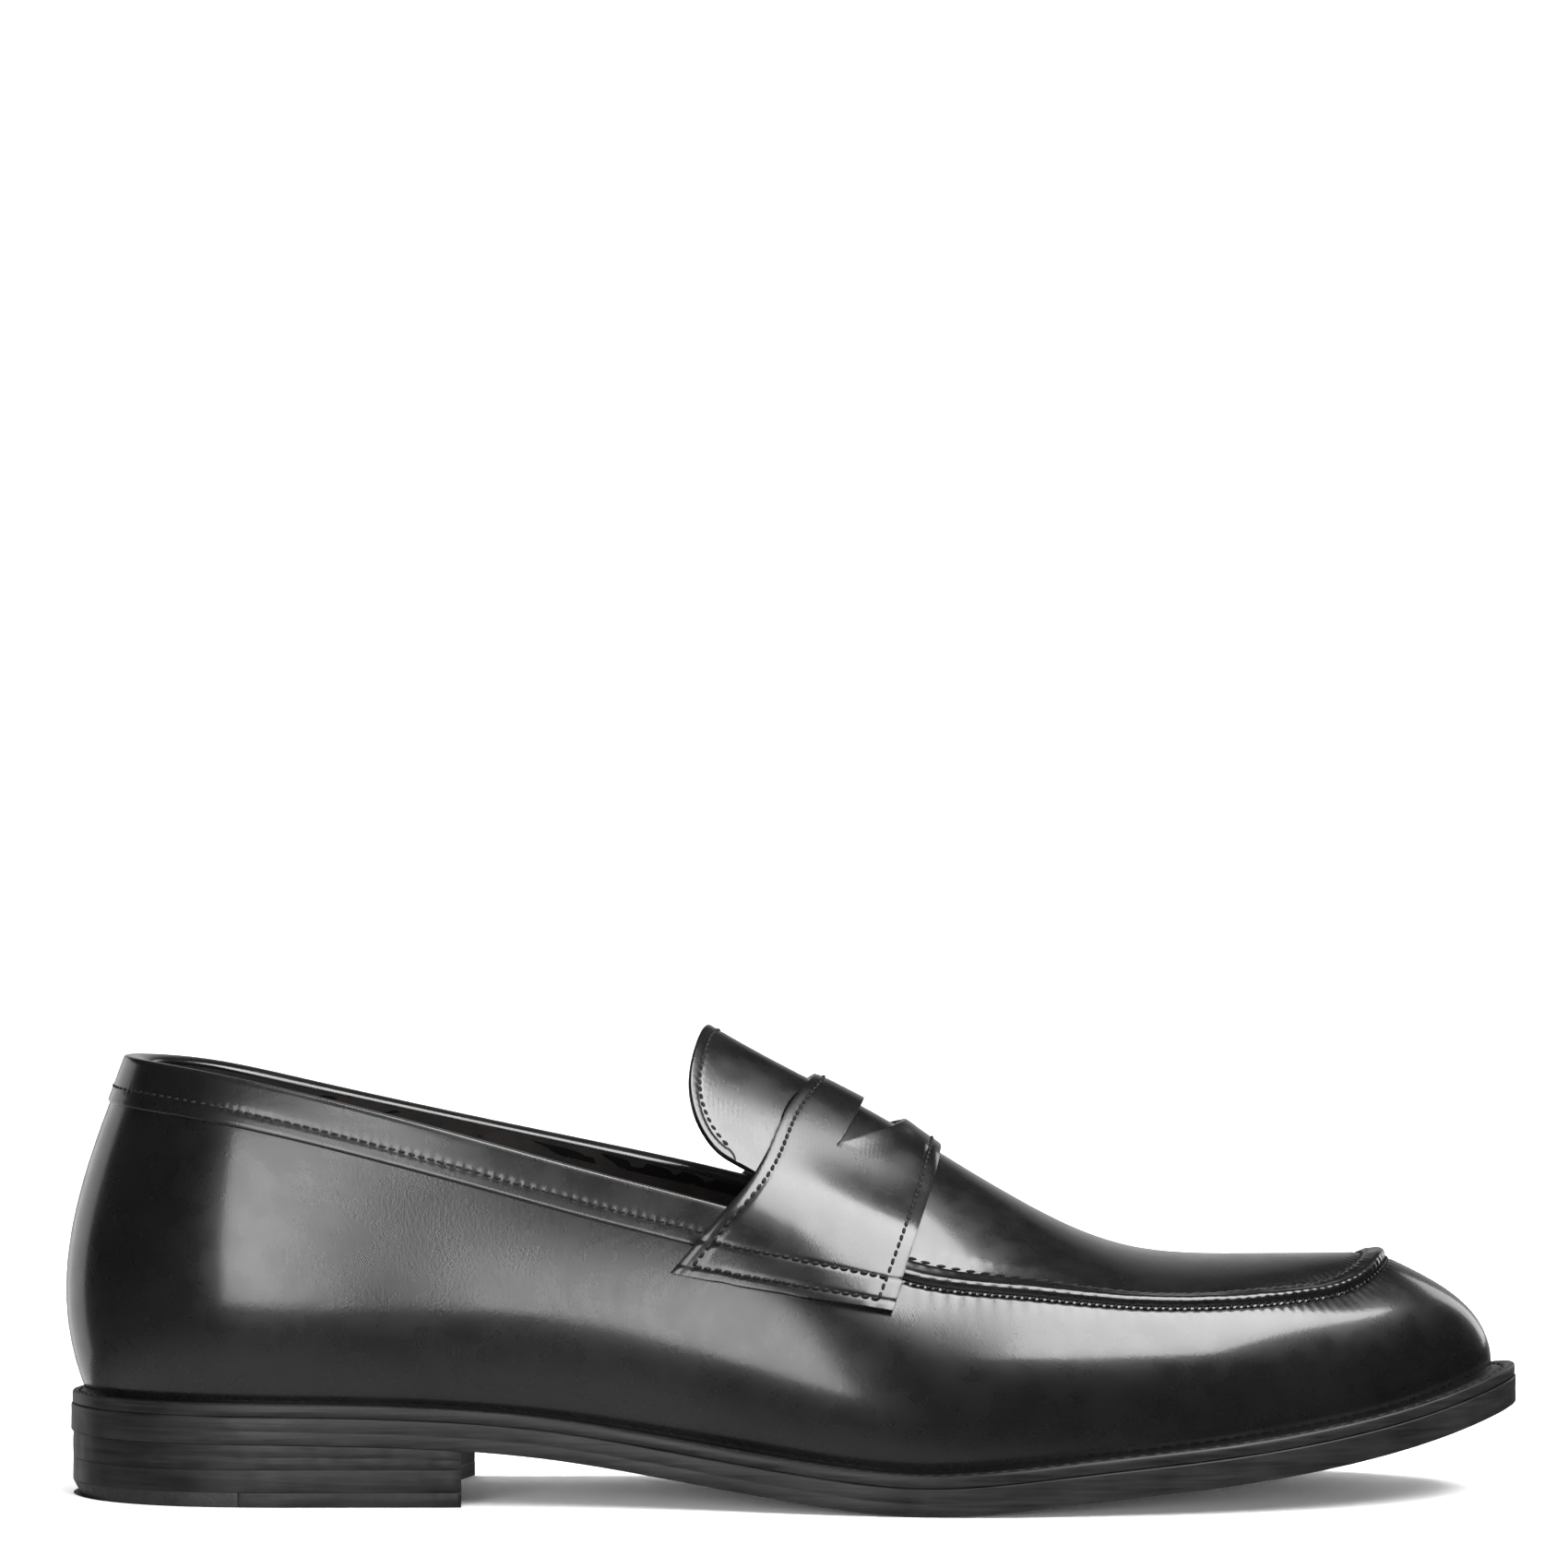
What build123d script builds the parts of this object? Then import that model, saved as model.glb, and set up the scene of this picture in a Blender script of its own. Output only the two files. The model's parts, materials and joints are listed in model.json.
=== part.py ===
from build123d import *
import math
import os

import numpy as np

# Penny loafer, right shoe. Millimetres, +X from heel to toe, -Y the outer (lateral) side, +Z up.
# "Station" is the distance from the back of the heel along the shoe: X = station - LENGTH / 2.

# ---- driving dimensions -------------------------------------------------------------------------
LENGTH = 300.0
OUTSOLE = 5.6                # thickness of the outsole
WELT = 2.6                   # thickness of the welt
SEAT = OUTSOLE + WELT        # from the underside of the sole to the top of the welt
WELT_STEP = 0.6              # the welt's edge stands this far inside the outsole's edge
WELT_WIDTH = 15.0
SHELF_HEEL = 3.2             # from the outsole's edge in to the foot of the upper, at the heel
SHELF_TOE = 5.2              # the same round the forepart
BREAST = 83.0                # station of the heel's front face
BREAST_SAG = 5.0             # how far the breast is hollowed
BREAST_HALF = 30.0           # half the breast's width
TOP_PIECE = 3.0              # thickness of the heel's top piece
LOWER_LIFT_TOP = 7.6         # height of the joint between the two lifts
RUBBER_END = 38.0            # station of the joint in the top piece
HEEL_DRAFT = 0.4             # the heel stands this far inside the outsole's edge
NAIL_RADIUS = 1.0
NAILS = [(18.0, 0.0), (32.0, -17.0), (32.0, 17.0), (58.0, -18.0), (58.0, 18.0)]    # station, side
SHANK = 1.2                  # thickness of the steel shank
SHANK_LIFT = 0.6             # the shank lies this far over the outsole
SHANK_MIDDLE = (118.0, -2.0)     # station and side
SHANK_SIZE = (92.0, 14.0)

SKIRT = 1.4                  # leather thicknesses
APRON = 1.4
LINING = 1.0
STIFFENER = 0.8              # heel counter and toe puff
TONGUE = 1.2
STRAP = 1.1
STRAP_LINING = 0.7
BAND = 0.9
FIT = 0.35                   # gap between two layers of the same body
RIDGE_GAP = 0.7              # gap under the apron's ridge
CLEAR = 0.5                  # gap round what moves
STRAP_GAP = 0.8              # gap under the strap's lining
SECTION_GAP = 6.0            # least distance between a loft's end and the next section
INSOLE = 2.6
INSOLE_GAP = 1.2             # from the lining in to the insole's edge
SOCK = 0.8
PAD = 2.0                    # height of the heel pad
PAD_END = 77.0
PAD_INSET = 1.5
PAD_SLOPE = (64.0, 84.0)     # the sock lining comes down off the pad between these stations
BAND_TOP = 1.0               # the band stands this far over the skirt's top edge
BAND_HEIGHT = 8.6
RIDGE_WIDTH = 4.0
RIDGE_HEIGHT = 1.6
WALL_FULLNESS = 0.38         # how far the wall's slopes at foot and top edge reach into it

# Plan of the outsole's edge: station and side, from the heel's back round the outer side.
SOLE_PLAN = [
    (1.0, 0.0), (7.5, -18.5), (24.0, -30.3), (50.0, -33.6), (83.0, -33.4), (110.0, -35.2),
    (135.0, -40.5), (155.0, -46.6), (175.0, -50.9), (196.0, -52.0), (218.0, -49.6),
    (240.0, -45.2), (262.0, -37.2), (280.0, -26.5), (294.0, -12.5), (300.0, 3.0),
    (296.6, 16.0), (285.0, 28.5), (266.0, 39.6), (243.0, 47.8), (220.0, 51.6),
    (198.0, 51.6), (176.0, 46.2), (155.0, 38.2), (135.0, 31.6), (110.0, 28.4),
    (83.0, 29.8), (50.0, 32.2), (24.0, 29.3), (7.5, 18.0),
]
# Plan of the skirt's top edge at the same places: the mouth, then the apron's seam.
EDGE_PLAN = [
    (12.4, 0.0), (15.6, -12.8), (27.0, -23.3), (48.0, -27.6), (81.0, -29.8), (110.0, -31.6),
    (135.0, -33.8), (155.0, -35.8), (174.0, -36.9), (195.5, -36.6), (216.0, -35.4),
    (235.0, -31.9), (250.5, -25.4), (261.8, -17.0), (268.6, -7.4), (270.6, 3.0),
    (268.8, 13.0), (262.0, 22.0), (250.5, 29.2), (235.0, 33.8), (217.0, 35.0),
    (196.0, 34.4), (174.0, 33.2), (155.0, 32.2), (135.0, 31.2), (110.0, 30.2),
    (82.0, 29.2), (48.0, 27.0), (27.0, 22.9), (15.6, 12.6),
]
TOE = 15                     # the place in both plans that is the toe
SEAM_FROM = 8                # the places between these two lie on the apron's seam
SEAM_TO = 22
# Heights: station and height.
SOLE_LINE = [
    (0.0, 13.0), (45.0, 12.6), (83.0, 11.4), (100.0, 9.9), (120.0, 7.0), (142.0, 3.5),
    (160.0, 1.1), (176.0, 0.0), (190.0, 0.7), (210.0, 2.8), (235.0, 5.3), (258.0, 8.4),
    (280.0, 12.8), (300.0, 18.4),
]
MOUTH_OUTER = [
    (12.8, 90.4), (36.3, 86.9), (60.3, 81.1), (88.0, 74.0), (112.0, 67.4), (135.7, 61.4),
    (155.0, 55.6), (174.0, 49.0),
]
MOUTH_INNER = [
    (12.8, 90.4), (36.3, 86.9), (60.3, 80.8), (86.0, 75.6), (110.0, 70.5), (135.0, 65.0),
    (155.0, 60.0), (174.0, 55.0),
]
CREST = [
    (125.0, 101.2), (133.2, 96.2), (144.5, 89.8), (156.0, 83.8), (167.4, 77.8), (184.6, 67.3),
    (196.0, 60.6), (207.5, 54.7), (218.0, 50.9), (229.0, 49.1), (244.0, 48.8), (262.0, 49.0),
    (280.0, 49.2),
]
CREST_SIDE = [(125.0, 1.0), (200.0, 2.0), (280.0, 3.0)]      # where the crest lies, sideways
ARCH_HALF = 38.0             # the arch is measured this far to each side of the crest
ARCH_DROP = [
    (125.0, 30.0), (150.0, 29.5), (174.0, 25.6), (196.0, 15.5), (216.0, 9.0), (235.0, 8.2),
    (250.0, 11.0), (262.0, 18.0), (280.0, 30.0),
]
ARCH_ROUND = [(125.0, 0.36), (160.0, 0.42), (196.0, 0.9), (230.0, 1.6), (280.0, 2.0)]
# Lean of the upper's wall, in degrees: outwards at its foot, inwards at its top edge.
FOOT_LEAN = [(1.0, 22.0), (50.0, 18.0), (135.0, 18.0), (196.0, 13.0), (270.0, 6.0), (300.0, 2.0)]
EDGE_LEAN = [
    (12.0, 20.0), (48.0, 15.0), (82.0, 12.0), (112.0, 15.0), (135.0, 22.0), (155.0, 33.0),
    (174.0, 44.0), (196.0, 52.0), (235.0, 60.0), (270.0, 68.0),
]

# Where the pieces of the wall begin and end: station of the top edge, and share of the height.
SEAM_AT = 172.0              # the apron's ridge runs forward from here
BAND_AT = 140.0              # the collar band runs back from here
QUARTER_AT = 150.0           # joint between quarter lining and vamp lining
COUNTER_AT = 74.0
COUNTER_HEIGHT = 0.62
PUFF_AT = 240.0
PUFF_HEIGHT = 0.9
VAMP_LINING_HEIGHT = 0.97
APRON_SHEET = (136.0, 276.0)     # stations between which the layers of the top are lofted
TONGUE_SHEET = (124.0, 162.0)

# Saddle strap: share of the girth from the crest to the strap's end, and station.
STRAP_REAR = [(0.0, 154.0), (0.28, 149.0), (0.67, 141.0), (0.8, 135.5), (1.0, 125.6)]
STRAP_FRONT = [(0.0, 180.0), (0.44, 177.5), (0.65, 175.0), (0.84, 172.5), (1.0, 170.0)]
STRAP_END = (47.6, 39.9)     # height of the strap's end at its rear and front corners
STRAP_SIDE = [(125.6, 46.0), (130.4, 55.0), (137.5, 66.0), (150.0, 70.0), (150.0, 46.0)]
SLOT_STATION = 168.4         # middle of the penny slot
SLOT_REAR = 4.9              # slot edges from its middle, along the crest
SLOT_FRONT = 4.6
SLOT_TIP = 5.4               # how far back the slot's two tips lie
SLOT_HALF = 19.5             # half the slot's length, across
TONGUE_FRONT = 152.8         # station of the tongue's front edge on the crest, behind the strap
TONGUE_SWEEP = 12.8          # that edge runs back this far at the wings
TONGUE_WING = 31.5           # half the tongue's width
TONGUE_BACK = [(133.2, 0.0), (130.6, 12.0), (129.4, 22.0), (131.5, 28.6), (137.0, 31.5)]
TONGUE_LINING_INSET = 0.6

# Cutting tools reach past the shoe on every side: half their width, and their ends.
TOOL_HALF = 70.0
TOOL_LOW = -5.0
TOOL_HIGH = 60.0
TOOL_REAR = -1.0
TOOL_FRONT = 301.0


# ---- shared maths -------------------------------------------------------------------------------
def spline(knots, values, period=0.0):
    """A smooth curve (C2) through values at knots, closed when a period is given."""
    x = np.array(knots, float)
    y = np.array(values, float).reshape(len(x), -1)
    if period:
        x = np.append(x, x[0] + period)
        y = np.vstack([y, y[:1]])
    h = np.diff(x)
    slope = np.diff(y, axis=0) / h[:, None]
    n = len(x)
    a = np.zeros((n, n))
    b = np.zeros(y.shape)
    for i in range(1, n - 1):
        a[i, i - 1:i + 2] = h[i - 1], 2 * (h[i - 1] + h[i]), h[i]
        b[i] = 6 * (slope[i] - slope[i - 1])
    a[0, 0] = a[-1, -1] = 1
    if period:
        a[0, -1] = -1
        a[-1] = 0
        a[-1, 0], a[-1, 1] = 2 * h[0], h[0]
        a[-1, -2], a[-1, -1] = h[-1], 2 * h[-1]
        b[-1] = 6 * (slope[0] - slope[-1])
    m = np.linalg.solve(a, b)

    def at(t):
        t = np.asarray(t, float)
        if period:
            t = (t - x[0]) % period + x[0]
        i = np.clip(np.searchsorted(x, t, side="right") - 1, 0, n - 2)
        w = ((t - x[i]) / h[i])[..., None]
        bend = ((1 - w) ** 3 - (1 - w)) * m[i] + (w ** 3 - w) * m[i + 1]
        found = (1 - w) * y[i] + w * y[i + 1] + (h[i] ** 2)[..., None] / 6 * bend
        return found[..., 0] if found.shape[-1] == 1 else found

    return at


def through(points):
    """A height or a lean as a smooth function of the station."""
    return spline([p[0] for p in points], [p[1] for p in points])


def unit(v):
    """The vector, or each vector of an array, at length 1."""
    return v / np.linalg.norm(v, axis=-1, keepdims=True)


def smooth(x, low, high):
    """A soft step from 0 at low to 1 at high."""
    t = np.clip((x - low) / (high - low), 0, 1)
    return t * t * (3 - 2 * t)


sole_line = through(SOLE_LINE)
mouth_outer = through(MOUTH_OUTER)
mouth_inner = through(MOUTH_INNER)
crest = through(CREST)
crest_side = through(CREST_SIDE)
arch_drop = through(ARCH_DROP)
arch_round = through(ARCH_ROUND)
foot_lean = through(FOOT_LEAN)
edge_lean = through(EDGE_LEAN)


def over(station, side):
    """Height of the upper's top surface over the instep and the toes."""
    e = arch_round(station)
    t = (side - crest_side(station)) / ARCH_HALF
    share = (np.sqrt(t * t + e * e) - e) / (np.sqrt(1 + e * e) - e)
    return crest(station) - arch_drop(station) * share


def over_point(station, side, offset=0.0):
    """A point on the top surface, moved out along its normal."""
    station, side = np.broadcast_arrays(np.asarray(station, float), np.asarray(side, float))
    d = 0.05
    along = (over(station + d, side) - over(station - d, side)) / (2 * d)
    across = (over(station, side + d) - over(station, side - d)) / (2 * d)
    normal = unit(np.stack([-along, -across, np.ones_like(along)], -1))
    return np.stack([station, side, over(station, side)], -1) + offset * normal


SOLE_POINTS = np.array(SOLE_PLAN)
KNOTS = np.concatenate([[0], np.cumsum(np.linalg.norm(np.diff(SOLE_POINTS, axis=0), axis=1))])
ROUND = KNOTS[-1] + np.linalg.norm(SOLE_POINTS[0] - SOLE_POINTS[-1])
sole_edge = spline(KNOTS, SOLE_POINTS, ROUND)
TOE_AT = KNOTS[TOE]


def edge_heights():
    """Height of the skirt's top edge at each place of the plan."""
    found = []
    for place, (station, side) in enumerate(EDGE_PLAN):
        if SEAM_FROM <= place <= SEAM_TO:
            found.append(float(over(station, side)))
        elif side < 0 or place == 0:
            found.append(float(mouth_outer(station)) - BAND_TOP)
        else:
            found.append(float(mouth_inner(station)) - BAND_TOP)
    return found


EDGE_POINTS = np.column_stack([np.array(EDGE_PLAN), edge_heights()])
upper_edge = spline(KNOTS, EDGE_POINTS, ROUND)


def outward(u):
    """Horizontal unit vector out of the sole's edge. The plan runs anticlockwise from above."""
    d = 0.2
    way = sole_edge(u + d) - sole_edge(u - d)
    return unit(np.stack([way[..., 1], -way[..., 0]], -1))


def foot(u):
    """Foot of the upper, on the welt."""
    edge = sole_edge(u)
    shelf = SHELF_HEEL + (SHELF_TOE - SHELF_HEEL) * smooth(edge[..., 0], 90.0, 200.0)
    at = edge - shelf[..., None] * outward(u)
    return np.concatenate([at, (sole_line(at[..., 0]) + SEAT + FIT)[..., None]], -1)


def wall_base(u, v):
    """The wall's outer face: a curve from its foot up to the top edge, at each place u."""
    u, v = np.broadcast_arrays(np.asarray(u, float), np.asarray(v, float))
    low = foot(u)
    high = upper_edge(u)
    out = outward(u)
    reach = WALL_FULLNESS * np.linalg.norm(high - low, axis=-1)
    lean_low = np.radians(foot_lean(low[..., 0]))
    lean_high = np.radians(edge_lean(high[..., 0]))
    rise = np.stack([out[..., 0] * np.sin(lean_low), out[..., 1] * np.sin(lean_low),
                     np.cos(lean_low)], -1)
    fall = np.stack([out[..., 0] * np.sin(lean_high), out[..., 1] * np.sin(lean_high),
                     -np.cos(lean_high)], -1)
    second = low + reach[..., None] * rise
    third = high + reach[..., None] * fall
    v = v[..., None]
    w = 1 - v
    return w ** 3 * low + 3 * w * w * v * second + 3 * w * v * v * third + v ** 3 * high


def wall(u, v, offset=0.0):
    """A point on the upper's wall: u round the shoe, v from the welt (0) to the top edge (1)."""
    u, v = np.broadcast_arrays(np.asarray(u, float), np.asarray(v, float))
    du = 0.3
    dv = 0.004
    across = wall_base(u + du, v) - wall_base(u - du, v)
    up = wall_base(u, v + dv) - wall_base(u, v - dv)
    normal = unit(np.cross(across, up))
    flip = np.sign(np.sum(normal[..., :2] * outward(u), -1, keepdims=True))
    return wall_base(u, v) + offset * normal * flip


# ---- solids from shared maths -------------------------------------------------------------------
def place(points):
    """Stations to X, as a list of vectors."""
    return [Vector(p[0] - LENGTH / 2, p[1], p[2]) for p in np.asarray(points)]


def ring_wire(stretches):
    """A closed wire of stretches, each a spline through its points; two points make a line."""
    edges = []
    for stretch in stretches:
        points = place(stretch)
        if len(points) == 2:
            edges.append(Edge.make_line(*points))
        else:
            edges.append(Edge.make_spline(points))
    return Wire(edges)


def flat_end(points, u):
    """The end section of a loft, pushed along the shoe into one upright plane."""
    points = np.array(points, float)
    if min(abs(u), abs(u - ROUND), abs(u - TOE_AT)) < 1e-9:
        points[:, 1] = EDGE_PLAN[TOE][1] if abs(u - TOE_AT) < 1e-9 else 0.0
        return points
    out = outward(u)
    way = np.array([-out[1], out[0]])
    off = (points[:, :2] - foot(u)[:2]) @ way
    points[:, :2] -= off[:, None] * way
    return points


def ring_section(u, sides, flat):
    """A closed section across the wall: each side a list of (v, offset) pairs."""
    stretches = []
    for side in sides:
        v = np.array([p[0] for p in side])
        offset = np.array([p[1] for p in side])
        points = wall(u, v, offset[:, None])
        stretches.append(flat_end(points, u) if flat else points)
    return ring_wire(stretches)


def stations(start, end):
    """Places round the shoe for a loft's sections: the plan's places and the ones halfway."""
    halfway = (KNOTS + np.append(KNOTS[1:], ROUND)) / 2
    near = np.sort(np.concatenate([KNOTS, halfway]))
    inside = [k - turn for turn in (ROUND, 0.0) for k in near]
    return [start] + [
        k for k in inside if start + SECTION_GAP < k < end - SECTION_GAP] + [end]


def ring(start, end, section):
    """Sections round the shoe lofted into one solid, in stretches that meet at heel and toe."""
    cuts = [start] + [c for c in (0.0, TOE_AT) if start < c < end] + [end]
    solid = None
    for a, b in zip(cuts[:-1], cuts[1:]):
        places = stations(a, b)
        wires = [section(u, u in (a, b)) for u in places]
        piece = Solid.make_loft(wires)
        solid = piece if solid is None else solid.fuse(piece)
    return solid


def layer(start, end, out, inner, low=0.0, high=1.0):
    """One layer of the wall, between two offsets and two shares of its height."""
    heights = list(np.linspace(low, high, 7))

    def section(u, flat):
        return ring_section(u, [
            [(v, out) for v in heights],
            [(high, out), (high, inner)],
            [(v, inner) for v in heights[::-1]],
            [(low, inner), (low, out)],
        ], flat)

    return ring(start, end, section)


def place_near(station, outer):
    """The place round the shoe where the skirt's top edge has this station."""
    u = np.linspace(0.0, TOE_AT, 2000) if outer else np.linspace(TOE_AT, ROUND, 2000)
    return float(u[np.argmin(abs(upper_edge(u)[:, 0] - station))])


def plan_wire(offset):
    """The sole's plan, drawn in by an offset, as a closed curve."""
    u = np.linspace(0.0, ROUND, 61)[:-1]
    at = sole_edge(u) - offset * outward(u)
    points = [Vector(p[0] - LENGTH / 2, p[1], 0) for p in at]
    return Wire([Edge.make_spline(points, periodic=True)])


def plan_prism(offset, low=TOOL_LOW, high=TOOL_HIGH):
    """Everything inside the sole's plan, drawn in by an offset."""
    face = Face(plan_wire(offset))
    return Pos(0, 0, low) * extrude(face, high - low, dir=(0, 0, 1))


def side_slab(low, high, start=TOOL_REAR, end=TOOL_FRONT):
    """Everything between two heights that depend on the station, right across the shoe."""
    x = np.linspace(start, end, 32)
    lower = [Vector(s - LENGTH / 2, -TOOL_HALF, float(low(s))) for s in x]
    upper = [Vector(s - LENGTH / 2, -TOOL_HALF, float(high(s))) for s in x[::-1]]
    outline = Wire([
        Edge.make_spline(lower),
        Edge.make_line(lower[-1], upper[0]),
        Edge.make_spline(upper),
        Edge.make_line(upper[-1], lower[0]),
    ])
    return extrude(Face(outline), 2 * TOOL_HALF, dir=(0, 1, 0))


def raised(rise):
    """A height that follows the underside of the sole."""
    return lambda s: sole_line(s) + rise


def block(start, end, low, high):
    """A box between two stations and two heights."""
    return Pos((start + end) / 2 - LENGTH / 2, 0, (low + high) / 2) * Box(
        end - start, 2 * TOOL_HALF, high - low)


# ---- the bottom of the shoe ---------------------------------------------------------------------
def heel_nails():
    """The nails that hold the heel's lifts to the insole."""
    found = []
    for station, side in NAILS:
        top = float(sole_line(station)) + SEAT + INSOLE
        found.append(Pos(station - LENGTH / 2, side, (TOP_PIECE + top) / 2) * Cylinder(
            NAIL_RADIUS, top - TOP_PIECE))
    return found


def bottom_parts():
    """Outsole, welt, heel, and what lies between the outsole and the foot."""
    parts = {}
    nails = heel_nails()
    outer = plan_prism(0.0)
    outsole = outer & side_slab(sole_line, raised(OUTSOLE))
    parts["outsole"] = outsole - nails
    welt_slab = plan_prism(WELT_STEP) & side_slab(raised(OUTSOLE), raised(SEAT))
    parts["welt"] = welt_slab - plan_prism(WELT_WIDTH) - nails
    shank_plan = Pos(SHANK_MIDDLE[0] - LENGTH / 2, SHANK_MIDDLE[1], 0) * Box(
        *SHANK_SIZE, 2 * TOOL_HIGH)
    shank_low = OUTSOLE + SHANK_LIFT
    shank = side_slab(raised(shank_low), raised(shank_low + SHANK)) & shank_plan
    filler = plan_prism(WELT_WIDTH + FIT) & side_slab(raised(OUTSOLE), raised(SEAT))
    parts["steel_shank"] = shank
    parts["cork_filler"] = filler - shank - nails
    inside = SHELF_TOE + SKIRT + STIFFENER + LINING + INSOLE_GAP
    insole = plan_prism(inside) & side_slab(raised(SEAT), raised(SEAT + INSOLE))
    parts["insole"] = insole - nails

    def pad_rise(s):
        return PAD * (1 - smooth(s, *PAD_SLOPE))

    base = SEAT + INSOLE + FIT
    parts["sock_lining"] = plan_prism(inside) & side_slab(
        lambda s: sole_line(s) + base + pad_rise(s),
        lambda s: sole_line(s) + base + pad_rise(s) + SOCK)
    pad = plan_prism(inside + PAD_INSET) & side_slab(
        raised(base), lambda s: sole_line(s) + base + pad_rise(s) - FIT, 0.0, PAD_END + 1.0)
    parts["heel_pad"] = pad & block(0.0, PAD_END, 0.0, TOOL_HIGH)

    hollow_radius = (BREAST_SAG ** 2 + BREAST_HALF ** 2) / (2 * BREAST_SAG)
    hollow = Pos(BREAST - BREAST_SAG + hollow_radius - LENGTH / 2, 0, 0) * Cylinder(
        hollow_radius, 2 * TOOL_HIGH)
    heel_plan = plan_prism(HEEL_DRAFT) & block(TOOL_REAR, BREAST, TOOL_LOW, TOOL_HIGH)
    heel_plan = heel_plan - hollow
    upper_lift = side_slab(lambda s: LOWER_LIFT_TOP, sole_line, TOOL_REAR, BREAST + 2.0)
    lower_lift = block(TOOL_REAR, BREAST, TOP_PIECE, LOWER_LIFT_TOP)
    parts["heel_lift_upper"] = (heel_plan & upper_lift) - nails
    parts["heel_lift_lower"] = (heel_plan & lower_lift) - nails
    parts["top_piece_rubber"] = heel_plan & block(TOOL_REAR, RUBBER_END, 0.0, TOP_PIECE)
    parts["top_piece_leather"] = heel_plan & block(RUBBER_END, BREAST, 0.0, TOP_PIECE)
    parts["heel_nails"] = Compound(children=nails)
    return parts


# ---- the walls of the upper ---------------------------------------------------------------------
SEAM_START = place_near(SEAM_AT, True)
SEAM_END = place_near(SEAM_AT, False)
BAND_START = place_near(BAND_AT, False) - ROUND
BAND_END = place_near(BAND_AT, True)
QUARTER_START = place_near(QUARTER_AT, False) - ROUND
QUARTER_END = place_near(QUARTER_AT, True)


def wall_parts():
    """Skirt, linings, stiffeners, collar band and the apron's ridge."""
    parts = {}
    parts["skirt"] = layer(0.0, ROUND, 0.0, -SKIRT)
    lined = SKIRT + STIFFENER + 2 * FIT
    parts["quarter_lining"] = layer(QUARTER_START, QUARTER_END, -lined, -lined - LINING)
    parts["vamp_lining"] = layer(
        QUARTER_END + 1.0, QUARTER_START + ROUND - 1.0, -lined, -lined - LINING,
        0.0, VAMP_LINING_HEIGHT)
    counter_out = SKIRT + FIT
    parts["heel_counter"] = layer(
        place_near(COUNTER_AT, False) - ROUND, place_near(COUNTER_AT, True),
        -counter_out, -counter_out - STIFFENER, 0.0, COUNTER_HEIGHT)
    parts["toe_puff"] = layer(
        place_near(PUFF_AT, True), place_near(PUFF_AT, False),
        -counter_out, -counter_out - STIFFENER, 0.0, PUFF_HEIGHT)
    parts["collar_band"] = band()
    parts["apron_ridge"] = ring(SEAM_START, SEAM_END, ridge_section)
    return parts


def band_rise(u):
    """Share of the wall's height where the collar band's lower edge lies."""
    tall = np.linalg.norm(upper_edge(u) - foot(u))
    return 1.0 - BAND_HEIGHT / float(tall)


def band():
    """The binding of the mouth: a leg down the outside, and a fold over skirt and lining."""
    lined = SKIRT + STIFFENER + 2 * FIT + LINING

    def section(u, flat):
        low = band_rise(u)
        over_edge = 1.0 + (BAND_TOP - 0.05) * (1.0 - low) / BAND_HEIGHT
        under = 1.0 + FIT * (1.0 - low) / BAND_HEIGHT
        outside = np.linspace(low, over_edge, 5)
        inside = np.linspace(under, low, 5)
        return ring_section(u, [
            [(v, FIT + BAND) for v in outside],
            [(over_edge, FIT + BAND), (over_edge, -lined)],
            [(over_edge, -lined), (under, -lined)],
            [(under, -lined), (under, FIT)],
            [(v, FIT) for v in inside],
            [(low, FIT), (low, FIT + BAND)],
        ], flat)

    solid = ring(BAND_START, BAND_END, section)
    return solid - strap_zone()


def strap_zone():
    """What lies in front of the strap's rear edge, seen from the side."""
    points = [Vector(s - LENGTH / 2 - CLEAR, -TOOL_HALF, z) for s, z in STRAP_SIDE]
    outline = Wire([Edge.make_line(a, b) for a, b in zip(points, points[1:] + points[:1])])
    return extrude(Face(outline), 2 * TOOL_HALF, dir=(0, 1, 0))


def ridge_section(u, flat):
    """The rolled edge along the apron's seam: a low arch that sits on the skirt and the apron."""
    at = upper_edge(u)
    d = 0.3
    way = upper_edge(u + d)[:2] - upper_edge(u - d)[:2]
    inward = unit(np.array([-way[1], way[0]]))
    middle = np.array([200.0, 0.0])
    if inward @ (middle - at[:2]) < 0:
        inward = -inward
    tall = np.linalg.norm(at - foot(u))
    half = RIDGE_WIDTH / 2
    low = 1.0 - half / tall
    mid = 1.0 - 0.5 * half / tall

    def top(reach, offset):
        side = at[:2] + reach * inward
        return over_point(side[0], side[1], offset)

    peak = (wall(u, 1.0, RIDGE_HEIGHT) + top(0.0, RIDGE_HEIGHT)) / 2
    base = (wall(u, 1.0, RIDGE_GAP) + top(0.0, RIDGE_GAP)) / 2
    back = [wall(u, low, RIDGE_GAP), wall(u, mid, 0.85 * RIDGE_HEIGHT), peak,
            top(0.5 * half, 0.85 * RIDGE_HEIGHT), top(half, RIDGE_GAP)]
    under = [top(half, RIDGE_GAP), base, wall(u, low, RIDGE_GAP)]
    stretches = [back, under[:2], under[1:]]
    if flat:
        stretches = [flat_end(s, u) for s in stretches]
    return ring_wire(stretches)


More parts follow.
